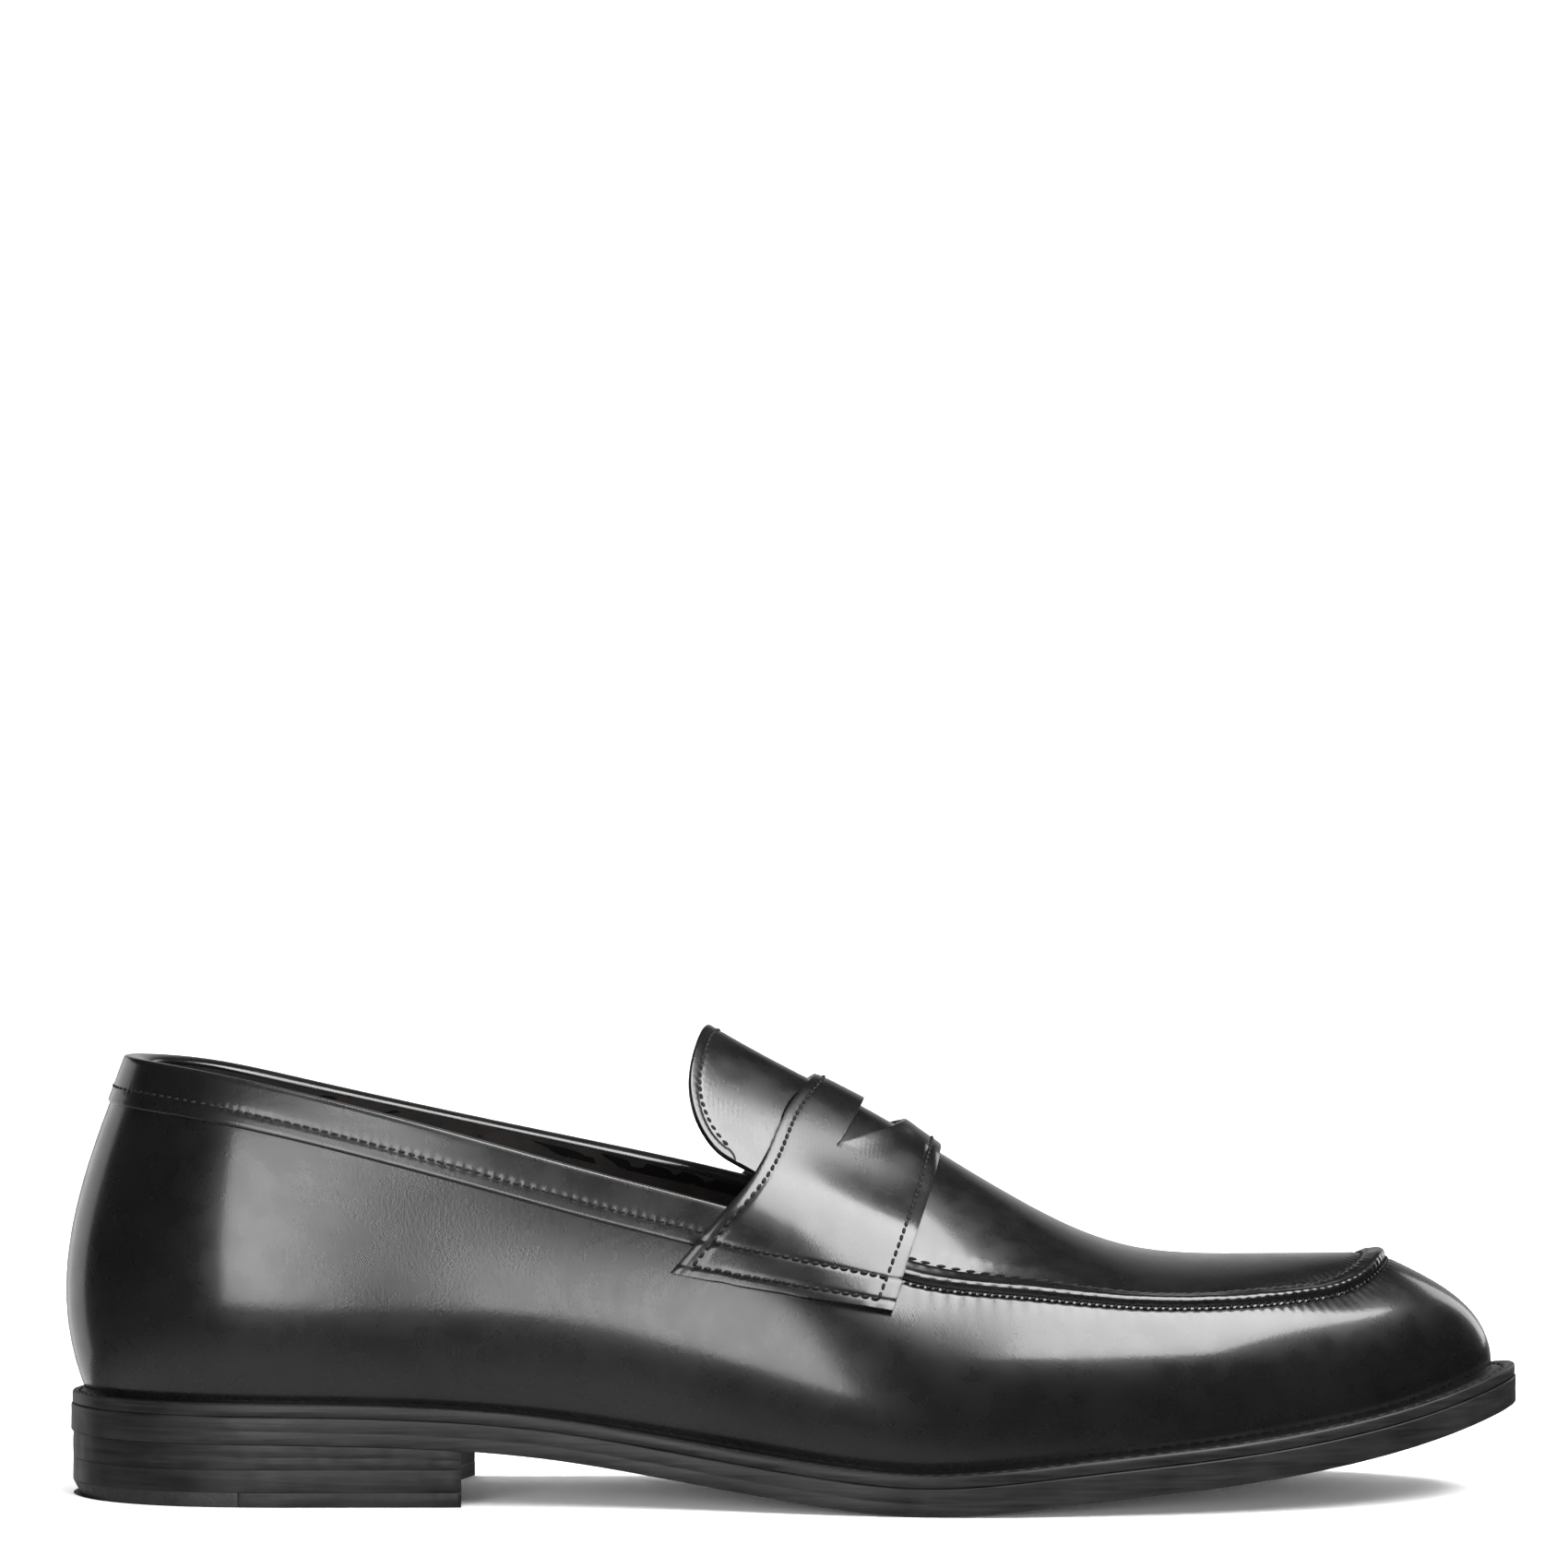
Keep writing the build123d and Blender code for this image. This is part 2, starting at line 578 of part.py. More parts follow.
# ---- the top of the upper -----------------------------------------------------------------------
def top_sheet(start, end, out, inner, half=48.0):
    """A layer of the top surface between two stations, wider than any piece cut from it."""
    wires = []
    for station in np.linspace(start, end, max(4, round((end - start) / 9.0))):
        side = np.linspace(-half, half, 15)
        outer_side = over_point(station, side, out)
        inner_side = over_point(station, side[::-1], inner)
        for rows in (outer_side, inner_side):
            rows[:, 0] = station
        wires.append(ring_wire([
            outer_side,
            [outer_side[-1], inner_side[0]],
            inner_side,
            [inner_side[-1], outer_side[0]],
        ]))
    return Solid.make_loft(wires)


def prism(stretches):
    """Everything above and below a closed plan outline made of stretches."""
    edges = []
    for stretch in stretches:
        points = [Vector(s - LENGTH / 2, y, 0) for s, y in stretch]
        edges.append(Edge.make_line(*points) if len(points) == 2 else Edge.make_spline(points))
    return extrude(Face(Wire(edges)), 150, dir=(0, 0, 1))


def tongue_front(side):
    """Station of the tongue's front edge."""
    reach = abs(side - float(crest_side(150.0))) / TONGUE_WING
    return TONGUE_FRONT - TONGUE_SWEEP * reach ** 1.25


def apron_plan(inset):
    """The apron: inside the seam, back to a line just in front of the tongue."""
    u = np.linspace(SEAM_START - 25.0, SEAM_END + 25.0, 40)
    edge = upper_edge(u)[:, :2]
    d = 0.5
    way = unit(upper_edge(u + d)[:, :2] - upper_edge(u - d)[:, :2])
    seam = edge + inset * np.column_stack([-way[:, 1], way[:, 0]])
    sides = np.linspace(seam[-1][1], seam[0][1], 9)
    back = [(max(tongue_front(y) + 1.0, 138.0), y) for y in sides]
    back[0] = tuple(seam[-1])
    back[-1] = tuple(seam[0])
    return prism([seam, back])


def tongue_plan(inset):
    """The tongue: a wide lobe with round corners, behind the apron."""
    centre = float(crest_side(140.0))
    wing = TONGUE_WING - inset
    left = [(s + inset, centre - min(y, wing)) for s, y in TONGUE_BACK[::-1]]
    right = [(s + inset, centre + min(y, wing)) for s, y in TONGUE_BACK]
    back = left + right[1:]
    front = [(tongue_front(y) - inset, y) for y in np.linspace(
        centre + wing, centre - wing, 9)]
    return prism([back, [back[-1], front[0]], front, [front[-1], back[0]]])


def top_parts():
    """Apron and tongue, each with its lining."""
    parts = {}
    apron_sheet = top_sheet(*APRON_SHEET, 0.0, -APRON)
    parts["apron"] = apron_sheet & apron_plan(SKIRT + FIT)
    under_apron = -APRON - 2 * FIT
    lining_sheet = top_sheet(*APRON_SHEET, under_apron, under_apron - LINING)
    parts["apron_lining"] = lining_sheet & apron_plan(SKIRT + STIFFENER + LINING + 4 * FIT)
    parts["tongue"] = top_sheet(*TONGUE_SHEET, 0.0, -TONGUE) & tongue_plan(0.0)
    under_tongue = -TONGUE - FIT
    backing_sheet = top_sheet(*TONGUE_SHEET, under_tongue, under_tongue - LINING)
    parts["tongue_lining"] = backing_sheet & tongue_plan(TONGUE_LINING_INSET)
    return parts


# ---- the saddle strap ---------------------------------------------------------------------------
def mirrored(points):
    """A smooth curve that is the same on both sides of the crest."""
    return through([(-h, s) for h, s in points[:0:-1]] + points)


strap_rear = mirrored(STRAP_REAR)
strap_front = mirrored(STRAP_FRONT)


def girth(station, outer):
    """The strap's bed at one station, from the crest down to its end: points and lengths."""
    u = place_near(station, outer)
    sign = -1.0 if outer else 1.0
    centre = float(crest_side(station))
    edge_side = abs(float(upper_edge(u)[1]) - centre)
    reach = np.linspace(0.0, 0.86 * edge_side, 7)
    top = over_point(station, centre + sign * reach)
    share = np.linspace(1.0, 0.3, 9)
    side = wall(u, share)
    points = np.vstack([top, side[1:]])
    points[:, 0] = station
    steps = np.linalg.norm(np.diff(points, axis=0), axis=1)
    lengths = np.concatenate([[0], np.cumsum(steps)])
    return points, lengths


GIRTHS = {}


def girth_curve(station, outer):
    """The bed as a smooth curve over its length, and the length at the strap's end."""
    key = (round(station, 2), outer)
    if key not in GIRTHS:
        points, lengths = girth(station, outer)
        curve = spline(lengths, points)
        fine = np.linspace(0.0, lengths[-1], 400)
        across = (station - STRAP_REAR[-1][1]) / (STRAP_FRONT[-1][1] - STRAP_REAR[-1][1])
        end = STRAP_END[0] + (STRAP_END[1] - STRAP_END[0]) * min(max(across, 0.0), 1.0)
        heights = curve(fine)[:, 2]
        GIRTHS[key] = curve, float(fine[np.argmin(abs(heights - end))])
    return GIRTHS[key]


def strap_bed(h, w):
    """The bed under the strap: h from the outer end (-1) to the inner end (1), w rear to front."""
    station = (1 - w) * float(strap_rear(h)) + w * float(strap_front(h))
    curve, length = girth_curve(station, h < 0)
    return curve(abs(h) * length)


def strap_point(h, w, offset):
    """A point over the strap's bed."""
    d = 0.01
    along = strap_bed(h + d, w) - strap_bed(h - d, w)
    across = strap_bed(h, w + d) - strap_bed(h, w - d)
    normal = unit(np.cross(along, across))
    if normal[2] < 0 and abs(h) < 0.5 or normal[1] * h < 0 and abs(h) >= 0.5:
        normal = -normal
    return strap_bed(h, w) + offset * normal


def flatten(points):
    """Points moved onto the plane that fits them best."""
    points = np.array(points)
    middle = points.mean(axis=0)
    normal = np.linalg.svd(points - middle)[2][-1]
    return points - ((points - middle) @ normal)[:, None] * normal


def strap_layer(out, inner, inset=0.0):
    """One layer of the strap: sections across it, lofted from its outer to its inner end."""
    wires = []
    share = np.linspace(inset, 1 - inset, 5)
    for h in np.linspace(-1 + inset / 2, 1 - inset / 2, 21):
        outer_side = [strap_point(h, w, out) for w in share]
        inner_side = [strap_point(h, w, inner) for w in share[::-1]]
        if abs(h) > 0.96:
            both = flatten(outer_side + inner_side)
            outer_side, inner_side = both[:5], both[5:]
        wires.append(ring_wire([
            outer_side,
            [outer_side[-1], inner_side[0]],
            inner_side,
            [inner_side[-1], outer_side[0]],
        ]))
    return Solid.make_loft(wires)


def slot():
    """The penny slot, cut square to the crest: straight at the back, bowed at the front."""
    slope = math.atan2(float(crest(SLOT_STATION - 3) - crest(SLOT_STATION + 3)), 6.0)
    centre = float(crest_side(SLOT_STATION))
    rear = [(-SLOT_TIP, -SLOT_HALF), (-SLOT_REAR, 0.0), (-SLOT_TIP, SLOT_HALF)]
    front = [(-SLOT_TIP, SLOT_HALF), (0.55 * SLOT_FRONT, 0.5 * SLOT_HALF), (SLOT_FRONT, 0.0),
             (0.55 * SLOT_FRONT, -0.5 * SLOT_HALF), (-SLOT_TIP, -SLOT_HALF)]
    wire = Wire([Edge.make_spline([Vector(a, b, 0) for a, b in side]) for side in (rear, front)])
    tool = extrude(Face(wire), TOOL_HIGH, dir=(0, 0, 1))
    tilt = Pos(SLOT_STATION - LENGTH / 2, centre, float(crest(SLOT_STATION))) * Rot(
        0, math.degrees(slope), 0)
    return tilt * (Pos(0, 0, -TOOL_HIGH / 2) * tool)


def strap_parts():
    """The saddle strap and its lining, open at the penny slot."""
    opening = slot()
    under = STRAP_GAP + STRAP_LINING
    strap = strap_layer(under + FIT + STRAP, under + FIT) - opening
    lining = strap_layer(under, STRAP_GAP, 0.02) - opening
    return {"saddle_strap": strap, "strap_lining": lining}


# ---- write the parts ----------------------------------------------------------------------------
def main():
    """One STEP file for each piece."""
    os.makedirs("parts", exist_ok=True)
    everything = {}
    for group in (bottom_parts(), wall_parts(), top_parts(), strap_parts()):
        everything.update(group)
    for name, shape in everything.items():
        export_step(shape, os.path.join("parts", name + ".step"))
        print(name, round(shape.volume), len(shape.solids()))


main()
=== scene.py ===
import json
import math

import bmesh
import bpy
import numpy as np
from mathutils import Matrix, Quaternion, Vector

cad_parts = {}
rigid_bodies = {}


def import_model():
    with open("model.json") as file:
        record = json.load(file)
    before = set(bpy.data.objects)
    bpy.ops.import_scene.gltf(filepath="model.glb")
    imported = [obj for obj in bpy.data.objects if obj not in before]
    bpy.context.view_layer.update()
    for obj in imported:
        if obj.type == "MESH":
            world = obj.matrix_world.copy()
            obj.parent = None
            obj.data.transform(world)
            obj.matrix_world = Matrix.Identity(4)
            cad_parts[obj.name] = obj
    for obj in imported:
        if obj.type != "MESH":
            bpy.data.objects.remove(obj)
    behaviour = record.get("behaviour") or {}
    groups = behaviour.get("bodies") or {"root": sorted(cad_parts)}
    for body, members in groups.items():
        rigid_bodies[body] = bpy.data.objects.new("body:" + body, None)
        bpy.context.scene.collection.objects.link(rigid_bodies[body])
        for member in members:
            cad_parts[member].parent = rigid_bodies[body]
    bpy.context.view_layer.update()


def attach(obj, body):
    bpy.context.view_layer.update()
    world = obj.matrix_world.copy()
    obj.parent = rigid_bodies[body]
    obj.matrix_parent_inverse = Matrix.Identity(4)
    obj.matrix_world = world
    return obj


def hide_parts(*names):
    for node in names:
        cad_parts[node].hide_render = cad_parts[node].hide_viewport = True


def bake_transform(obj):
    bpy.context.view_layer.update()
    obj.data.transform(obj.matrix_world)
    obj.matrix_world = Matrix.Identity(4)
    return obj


# Penny loafer. The leather pieces are rebuilt here as fine meshes from the same outlines as the CAD
# pieces. Shapes are worked out in millimetres, with "station" the distance from the heel's back,
# and go to metres when a mesh is made.

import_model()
MM = 0.001
LENGTH = 300.0
ROOT = "shoe"

# ---- sizes, as in the CAD model -----------------------------------------------------------------
OUTSOLE = 5.6
WELT = 2.6
SEAT = OUTSOLE + WELT
WELT_STEP = 0.25
WELT_WIDTH = 15.0
SHELF_HEEL = 3.2
SHELF_TOE = 5.2
BREAST = 83.0
BREAST_SAG = 5.0
TOP_PIECE = 3.0
LOWER_LIFT_TOP = 7.6
RUBBER_END = 38.0
HEEL_DRAFT = 0.4
SKIRT = 1.4
APRON = 1.4
LINING = 1.0
STIFFENER = 0.8
TONGUE = 1.2
STRAP = 1.1
STRAP_LINING = 0.7
BAND_OUT = 0.65
FIT = 0.35
BAND_TOP = 1.0
BAND_HEIGHT = 8.6

# Plan of the outsole's edge: station and side, from the heel's back round the outer side.
SOLE_PLAN = [
    (1.0, 0.0), (7.5, -18.5), (24.0, -30.3), (50.0, -33.6), (83.0, -33.4), (110.0, -35.2),
    (135.0, -40.5), (155.0, -46.6), (175.0, -50.9), (196.0, -52.0), (218.0, -49.6),
    (240.0, -45.2), (262.0, -37.2), (280.0, -26.5), (294.0, -12.5), (300.0, 3.0),
    (296.6, 16.0), (285.0, 28.5), (266.0, 39.6), (243.0, 47.8), (220.0, 51.6),
    (198.0, 51.6), (176.0, 46.2), (155.0, 38.2), (135.0, 31.6), (110.0, 28.4),
    (83.0, 29.8), (50.0, 32.2), (24.0, 29.3), (7.5, 18.0),
]
# Plan of the skirt's top edge at the same places: the mouth, then the apron's seam.
EDGE_PLAN = [
    (12.4, 0.0), (15.6, -12.8), (27.0, -23.3), (48.0, -27.6), (81.0, -29.8), (110.0, -31.6),
    (135.0, -33.8), (155.0, -35.8), (174.0, -36.9), (195.5, -36.6), (216.0, -35.4),
    (235.0, -31.9), (250.5, -25.4), (261.8, -17.0), (268.6, -7.4), (270.6, 3.0),
    (268.8, 13.0), (262.0, 22.0), (250.5, 29.2), (235.0, 33.8), (217.0, 35.0),
    (196.0, 34.4), (174.0, 33.2), (155.0, 32.2), (135.0, 31.2), (110.0, 30.2),
    (82.0, 29.2), (48.0, 27.0), (27.0, 22.9), (15.6, 12.6),
]
TOE = 15                     # the place in both plans that is the toe
SEAM_FROM = 8                # the places between these two lie on the apron's seam
SEAM_TO = 22
# Heights: station and height.
SOLE_LINE = [
    (0.0, 13.0), (45.0, 12.6), (83.0, 11.4), (100.0, 9.9), (120.0, 7.0), (142.0, 3.5),
    (160.0, 1.1), (176.0, 0.0), (190.0, 0.7), (210.0, 2.8), (235.0, 5.3), (258.0, 8.4),
    (280.0, 12.8), (300.0, 18.4),
]
MOUTH_OUTER = [
    (12.8, 90.4), (36.3, 86.9), (60.3, 81.1), (88.0, 74.0), (112.0, 67.4), (135.7, 61.4),
    (155.0, 55.6), (174.0, 49.0),
]
MOUTH_INNER = [
    (12.8, 90.4), (36.3, 86.9), (60.3, 80.8), (86.0, 75.6), (110.0, 70.5), (135.0, 65.0),
    (155.0, 60.0), (174.0, 55.0),
]
CREST = [
    (125.0, 101.2), (133.2, 96.2), (144.5, 89.8), (156.0, 83.8), (167.4, 77.8), (184.6, 67.3),
    (196.0, 60.6), (207.5, 54.7), (218.0, 50.9), (229.0, 49.1), (244.0, 48.8), (262.0, 49.0),
    (280.0, 49.2),
]
# The arch over the instep: where its crest lies sideways, how far it falls, how round it is.
CREST_SIDE = [(125.0, 1.0), (200.0, 2.0), (280.0, 3.0)]
ARCH_HALF = 38.0
ARCH_DROP = [
    (125.0, 30.0), (150.0, 29.5), (174.0, 25.6), (196.0, 15.5), (216.0, 9.0), (235.0, 8.2),
    (250.0, 11.0), (262.0, 18.0), (280.0, 30.0),
]
ARCH_ROUND = [(125.0, 0.36), (160.0, 0.42), (196.0, 0.9), (230.0, 1.6), (280.0, 2.0)]
# Lean of the upper's wall, in degrees: outwards at its foot, inwards at its top edge.
FOOT_LEAN = [(1.0, 22.0), (50.0, 18.0), (135.0, 18.0), (196.0, 13.0), (270.0, 6.0), (300.0, 2.0)]
EDGE_LEAN = [
    (12.0, 20.0), (48.0, 15.0), (82.0, 12.0), (112.0, 15.0), (135.0, 22.0), (155.0, 33.0),
    (174.0, 44.0), (196.0, 52.0), (235.0, 60.0), (270.0, 68.0),
]
# Saddle strap: share of the girth from the crest to the strap's end, and station.
STRAP_REAR = [(0.0, 154.0), (0.28, 149.0), (0.67, 141.0), (0.8, 135.5), (1.0, 125.6)]
STRAP_FRONT = [(0.0, 180.0), (0.44, 177.5), (0.65, 175.0), (0.84, 172.5), (1.0, 170.0)]
STRAP_END = (47.6, 39.9)     # height of the strap's end at its rear and front corners
SLOT_STATION = 168.4         # middle of the penny slot
SLOT_REAR = 4.9              # slot edges from its middle, along the crest
SLOT_FRONT = 4.6
SLOT_TIP = 5.4               # how far back the slot's two tips lie
SLOT_HALF = 19.5             # half the slot's length, across
TONGUE_FRONT = 152.8
TONGUE_SWEEP = 12.8
TONGUE_WING = 31.5
TONGUE_BACK = [(133.2, 0.0), (130.6, 12.0), (129.4, 22.0), (131.5, 28.6), (137.0, 31.5)]

# ---- sizes of what only the visual model has ----------------------------------------------------
PUCKER_PITCH = 3.0           # pleats along the apron's seam
SPINE_START = 156.0          # the apron's mesh runs in to this stretch of the crest
SPINE_END = 238.0
BAND_ROW = 5.5               # the binding's stitches lie this far below the mouth's edge
TONGUE_TUCK = 2.2            # the tongue goes this far under the strap
UNDER_STRAP = 0.75           # height of the strap's underside over its bed; its lining is below
STRAP_BELLY = 1.4            # the strap stands out this much where it passes the mouth's edge
BELLY_AT = 0.7               # share of the girth
BELLY_SPREAD = 0.17
REAR_SPAN = 34.0             # width of the strap, for measures from its rear and its front edge
FRONT_SPAN = 30.0
HALF_GIRTH = 60.0            # from the crest to the strap's end, at its longest
HALF_GIRTH_LEAST = 45.0
EDGE_ROW = 2.3               # the strap's stitches from its rear and front edges
END_ROWS = (("low", 1.9), ("high", 6.8))     # and from its ends
SOLE_RADIUS = 0.3            # rounding of the edges of the outsole, the lifts and the top piece
LIFT_RADIUS = 0.1
TOP_PIECE_RADIUS = 0.12
TOP_PIECE_GAP = 0.15         # rubber and leather each stand this far off the joint between them
BACK_CHAMFER = 1.5           # how far the rubber's lower edge is cut back at the rear

# ---- studio: metres -----------------------------------------------------------------------------
LENS = 150.5
CAMERA_AT = (-0.0017, -1.356, 0.1461)
CENTRE = (0.0, 0.0, 0.04)
# Name, location, target, width and height, watts, turn about the light's own axis in degrees, and
# whether the leather mirrors it.
LIGHTS = [
    ("top_box", (1.07, -1.31, 2.05), (1.07, -1.31, 0.0), (1.64, 3.4), 165.0, 5.0, True),
    ("front_card", (-0.154, -0.35, 0.11), (-0.154, 0.0, 0.11), (0.118, 0.26), 0.56, 0.0, True),
    ("back_card", (-1.14, 1.11, 0.05), CENTRE, (1.1, 1.0), 2.8, 0.0, True),
    ("side_rim", (0.9, 1.1, 0.5), CENTRE, (0.4, 0.8), 2.0, 0.0, True),
    ("wall_light", (0.0, 0.3, 1.9), (0.0, 1.6, 0.4), (2.5, 0.6), 60.0, 0.0, False),
    ("floor_fill", (0.0, -1.6, 0.22), (0.0, 0.0, 0.0), (2.6, 0.4), 40.0, 0.0, False),
]
# Brightness of the surroundings, from straight down (0) to straight up (1), and what is added to it
# from the side of the camera (0) to the side away from it (1).
WORLD_BY_HEIGHT = [
    (0.0, 0.5), (0.24, 0.45), (0.33, 0.05), (0.5, 0.012), (0.7, 0.012), (1.0, 0.05),
]
WORLD_BY_DEPTH = [(0.9, 0.0), (0.96, 0.3), (1.0, 0.6)]


# ---- shared maths -------------------------------------------------------------------------------
def spline(knots, values, period=0.0):
    """A smooth curve (C2) through values at knots, closed when a period is given."""
    x = np.array(knots, float)
    y = np.array(values, float).reshape(len(x), -1)
    if period:
        x = np.append(x, x[0] + period)
        y = np.vstack([y, y[:1]])
    h = np.diff(x)
    slope = np.diff(y, axis=0) / h[:, None]
    n = len(x)
    a = np.zeros((n, n))
    b = np.zeros(y.shape)
    for i in range(1, n - 1):
        a[i, i - 1:i + 2] = h[i - 1], 2 * (h[i - 1] + h[i]), h[i]
        b[i] = 6 * (slope[i] - slope[i - 1])
    a[0, 0] = a[-1, -1] = 1
    if period:
        a[0, -1] = -1
        a[-1] = 0
        a[-1, 0], a[-1, 1] = 2 * h[0], h[0]
        a[-1, -2], a[-1, -1] = h[-1], 2 * h[-1]
        b[-1] = 6 * (slope[0] - slope[-1])
    m = np.linalg.solve(a, b)

    def at(t):
        t = np.asarray(t, float)
        if period:
            t = (t - x[0]) % period + x[0]
        i = np.clip(np.searchsorted(x, t, side="right") - 1, 0, n - 2)
        w = ((t - x[i]) / h[i])[..., None]
        bend = ((1 - w) ** 3 - (1 - w)) * m[i] + (w ** 3 - w) * m[i + 1]
        found = (1 - w) * y[i] + w * y[i + 1] + (h[i] ** 2)[..., None] / 6 * bend
        return found[..., 0] if found.shape[-1] == 1 else found

    return at


def through(points):
    """A height or a lean as a smooth function of the station."""
    return spline([p[0] for p in points], [p[1] for p in points])


def mirrored(points):
    """A smooth curve that is the same on both sides of zero."""
    return through([(-h, s) for h, s in points[:0:-1]] + points)


def unit(v):
    """The vector, or each vector of an array, at length 1."""
    return v / np.linalg.norm(v, axis=-1, keepdims=True)


def smooth(x, low, high):
    """A soft step from 0 at low to 1 at high."""
    t = np.clip((x - low) / (high - low), 0, 1)
    return t * t * (3 - 2 * t)


def dent(x, at, width):
    """A soft bump of height 1 that is centred at a place."""
    return np.exp(-((x - at) / width) ** 2)


sole_line = through(SOLE_LINE)
mouth_outer = through(MOUTH_OUTER)
mouth_inner = through(MOUTH_INNER)
crest = through(CREST)
crest_side = through(CREST_SIDE)
arch_drop = through(ARCH_DROP)
arch_round = through(ARCH_ROUND)
foot_lean = through(FOOT_LEAN)
edge_lean = through(EDGE_LEAN)
strap_rear = mirrored(STRAP_REAR)
strap_front = mirrored(STRAP_FRONT)


def over(station, side):
    """Height of the upper's top surface over the instep and the toes."""
    e = arch_round(station)
    t = (side - crest_side(station)) / ARCH_HALF
    share = (np.sqrt(t * t + e * e) - e) / (np.sqrt(1 + e * e) - e)
    return crest(station) - arch_drop(station) * share


def over_point(station, side, offset=0.0):
    """A point on the top surface, moved out along its normal."""
    station, side = np.broadcast_arrays(np.asarray(station, float), np.asarray(side, float))
    d = 0.05
    along = (over(station + d, side) - over(station - d, side)) / (2 * d)
    across = (over(station, side + d) - over(station, side - d)) / (2 * d)
    normal = unit(np.stack([-along, -across, np.ones_like(along)], -1))
    lift = np.broadcast_to(np.asarray(offset, float), station.shape)[..., None]
    return np.stack([station, side, over(station, side)], -1) + lift * normal


SOLE_POINTS = np.array(SOLE_PLAN)
KNOTS = np.concatenate([[0], np.cumsum(np.linalg.norm(np.diff(SOLE_POINTS, axis=0), axis=1))])
ROUND = KNOTS[-1] + np.linalg.norm(SOLE_POINTS[0] - SOLE_POINTS[-1])
sole_edge = spline(KNOTS, SOLE_POINTS, ROUND)
TOE_AT = KNOTS[TOE]


def edge_heights():
    """Height of the skirt's top edge at each place of the plan."""
    found = []
    for place, (station, side) in enumerate(EDGE_PLAN):
        if SEAM_FROM <= place <= SEAM_TO:
            found.append(float(over(station, side)))
        elif side < 0 or place == 0:
            found.append(float(mouth_outer(station)) - BAND_TOP)
        else:
            found.append(float(mouth_inner(station)) - BAND_TOP)
    return found


upper_edge = spline(KNOTS, np.column_stack([np.array(EDGE_PLAN), edge_heights()]), ROUND)


def outward(u):
    """Horizontal unit vector out of the sole's edge. The plan runs anticlockwise from above."""
    d = 0.2
    way = sole_edge(u + d) - sole_edge(u - d)
    return unit(np.stack([way[..., 1], -way[..., 0]], -1))


def foot(u):
    """Foot of the upper, on the welt."""
    edge = sole_edge(u)
    shelf = SHELF_HEEL + (SHELF_TOE - SHELF_HEEL) * smooth(edge[..., 0], 90.0, 200.0)
    at = edge - shelf[..., None] * outward(u)
    return np.concatenate([at, (sole_line(at[..., 0]) + SEAT)[..., None]], -1)


def wall_base(u, v):
    """The wall's outer face: a curve from its foot up to the top edge, at each place u."""
    u, v = np.broadcast_arrays(np.asarray(u, float), np.asarray(v, float))
    low = foot(u)
    high = upper_edge(u)
    out = outward(u)
    reach = 0.38 * np.linalg.norm(high - low, axis=-1)[..., None]
    lean_low = np.radians(foot_lean(low[..., 0]))
    lean_high = np.radians(edge_lean(high[..., 0]))
    rise = np.stack([out[..., 0] * np.sin(lean_low), out[..., 1] * np.sin(lean_low),
                     np.cos(lean_low)], -1)
    fall = np.stack([out[..., 0] * np.sin(lean_high), out[..., 1] * np.sin(lean_high),
                     -np.cos(lean_high)], -1)
    v = v[..., None]
    w = 1 - v
    return (w ** 3 * low + 3 * w * w * v * (low + reach * rise)
            + 3 * w * v * v * (high + reach * fall) + v ** 3 * high)


def wall(u, v, offset=0.0):
    """A point on the upper's wall: u round the shoe, v from the welt (0) to the top edge (1)."""
    u, v = np.broadcast_arrays(np.asarray(u, float), np.asarray(v, float))
    du = 0.3
    dv = 0.004
    across = wall_base(u + du, v) - wall_base(u - du, v)
    up = wall_base(u, v + dv) - wall_base(u, v - dv)
    normal = unit(np.cross(across, up))
    flip = np.sign(np.sum(normal[..., :2] * outward(u), -1, keepdims=True))
    lift = np.broadcast_to(np.asarray(offset, float), u.shape)[..., None]
    return wall_base(u, v) + lift * normal * flip


def wall_height(u):
    """Length of the wall from the welt to the top edge."""
    v = np.linspace(0, 1, 30)
    points = wall_base(np.asarray(u, float)[..., None], v)
    return np.sum(np.linalg.norm(np.diff(points, axis=-2), axis=-1), -1)


def place_near(station, outer):
    """The place round the shoe where the skirt's top edge has this station."""
    u = np.linspace(0.0, TOE_AT, 4000) if outer else np.linspace(TOE_AT, ROUND, 4000)
    return float(u[np.argmin(abs(upper_edge(u)[:, 0] - station))])


def ripple(a, b, seed):
    """Low, smooth unevenness made of a few waves, between about -1 and 1."""
    rng = np.random.default_rng(seed)
    total = 0.0
    for _ in range(7):
        ka, kb = rng.normal(0, 1, 2)
        total = total + np.sin(ka * a + kb * b + rng.uniform(0, 2 * math.pi))
    return total / 4.0


# ---- meshes -------------------------------------------------------------------------------------
def to_metres(points):
    """Stations and millimetres to the shared frame's metres."""
    points = np.array(points, float)
    points[..., 0] -= LENGTH / 2
    return points * MM


def make_object(name, vertices, faces, material, sharp=40.0):
    """A mesh object with smooth shading, and sharp edges where the faces turn more than sharp."""
    mesh = bpy.data.meshes.new(name)
    mesh.from_pydata([tuple(v) for v in vertices], [], faces)
    bm = bmesh.new()
    bm.from_mesh(mesh)
    bmesh.ops.remove_doubles(bm, verts=bm.verts, dist=1e-6)
    bmesh.ops.dissolve_degenerate(bm, edges=bm.edges, dist=1e-7)
    bmesh.ops.recalc_face_normals(bm, faces=bm.faces)
    for face in bm.faces:
        face.smooth = True
    limit = math.radians(sharp)
    for edge in bm.edges:
        if len(edge.link_faces) == 2:
            edge.smooth = edge.calc_face_angle(0.0) < limit
    bm.to_mesh(mesh)
    bm.free()
    mesh.materials.append(material)
    obj = bpy.data.objects.new(name, mesh)
    bpy.context.scene.collection.objects.link(obj)
    return obj


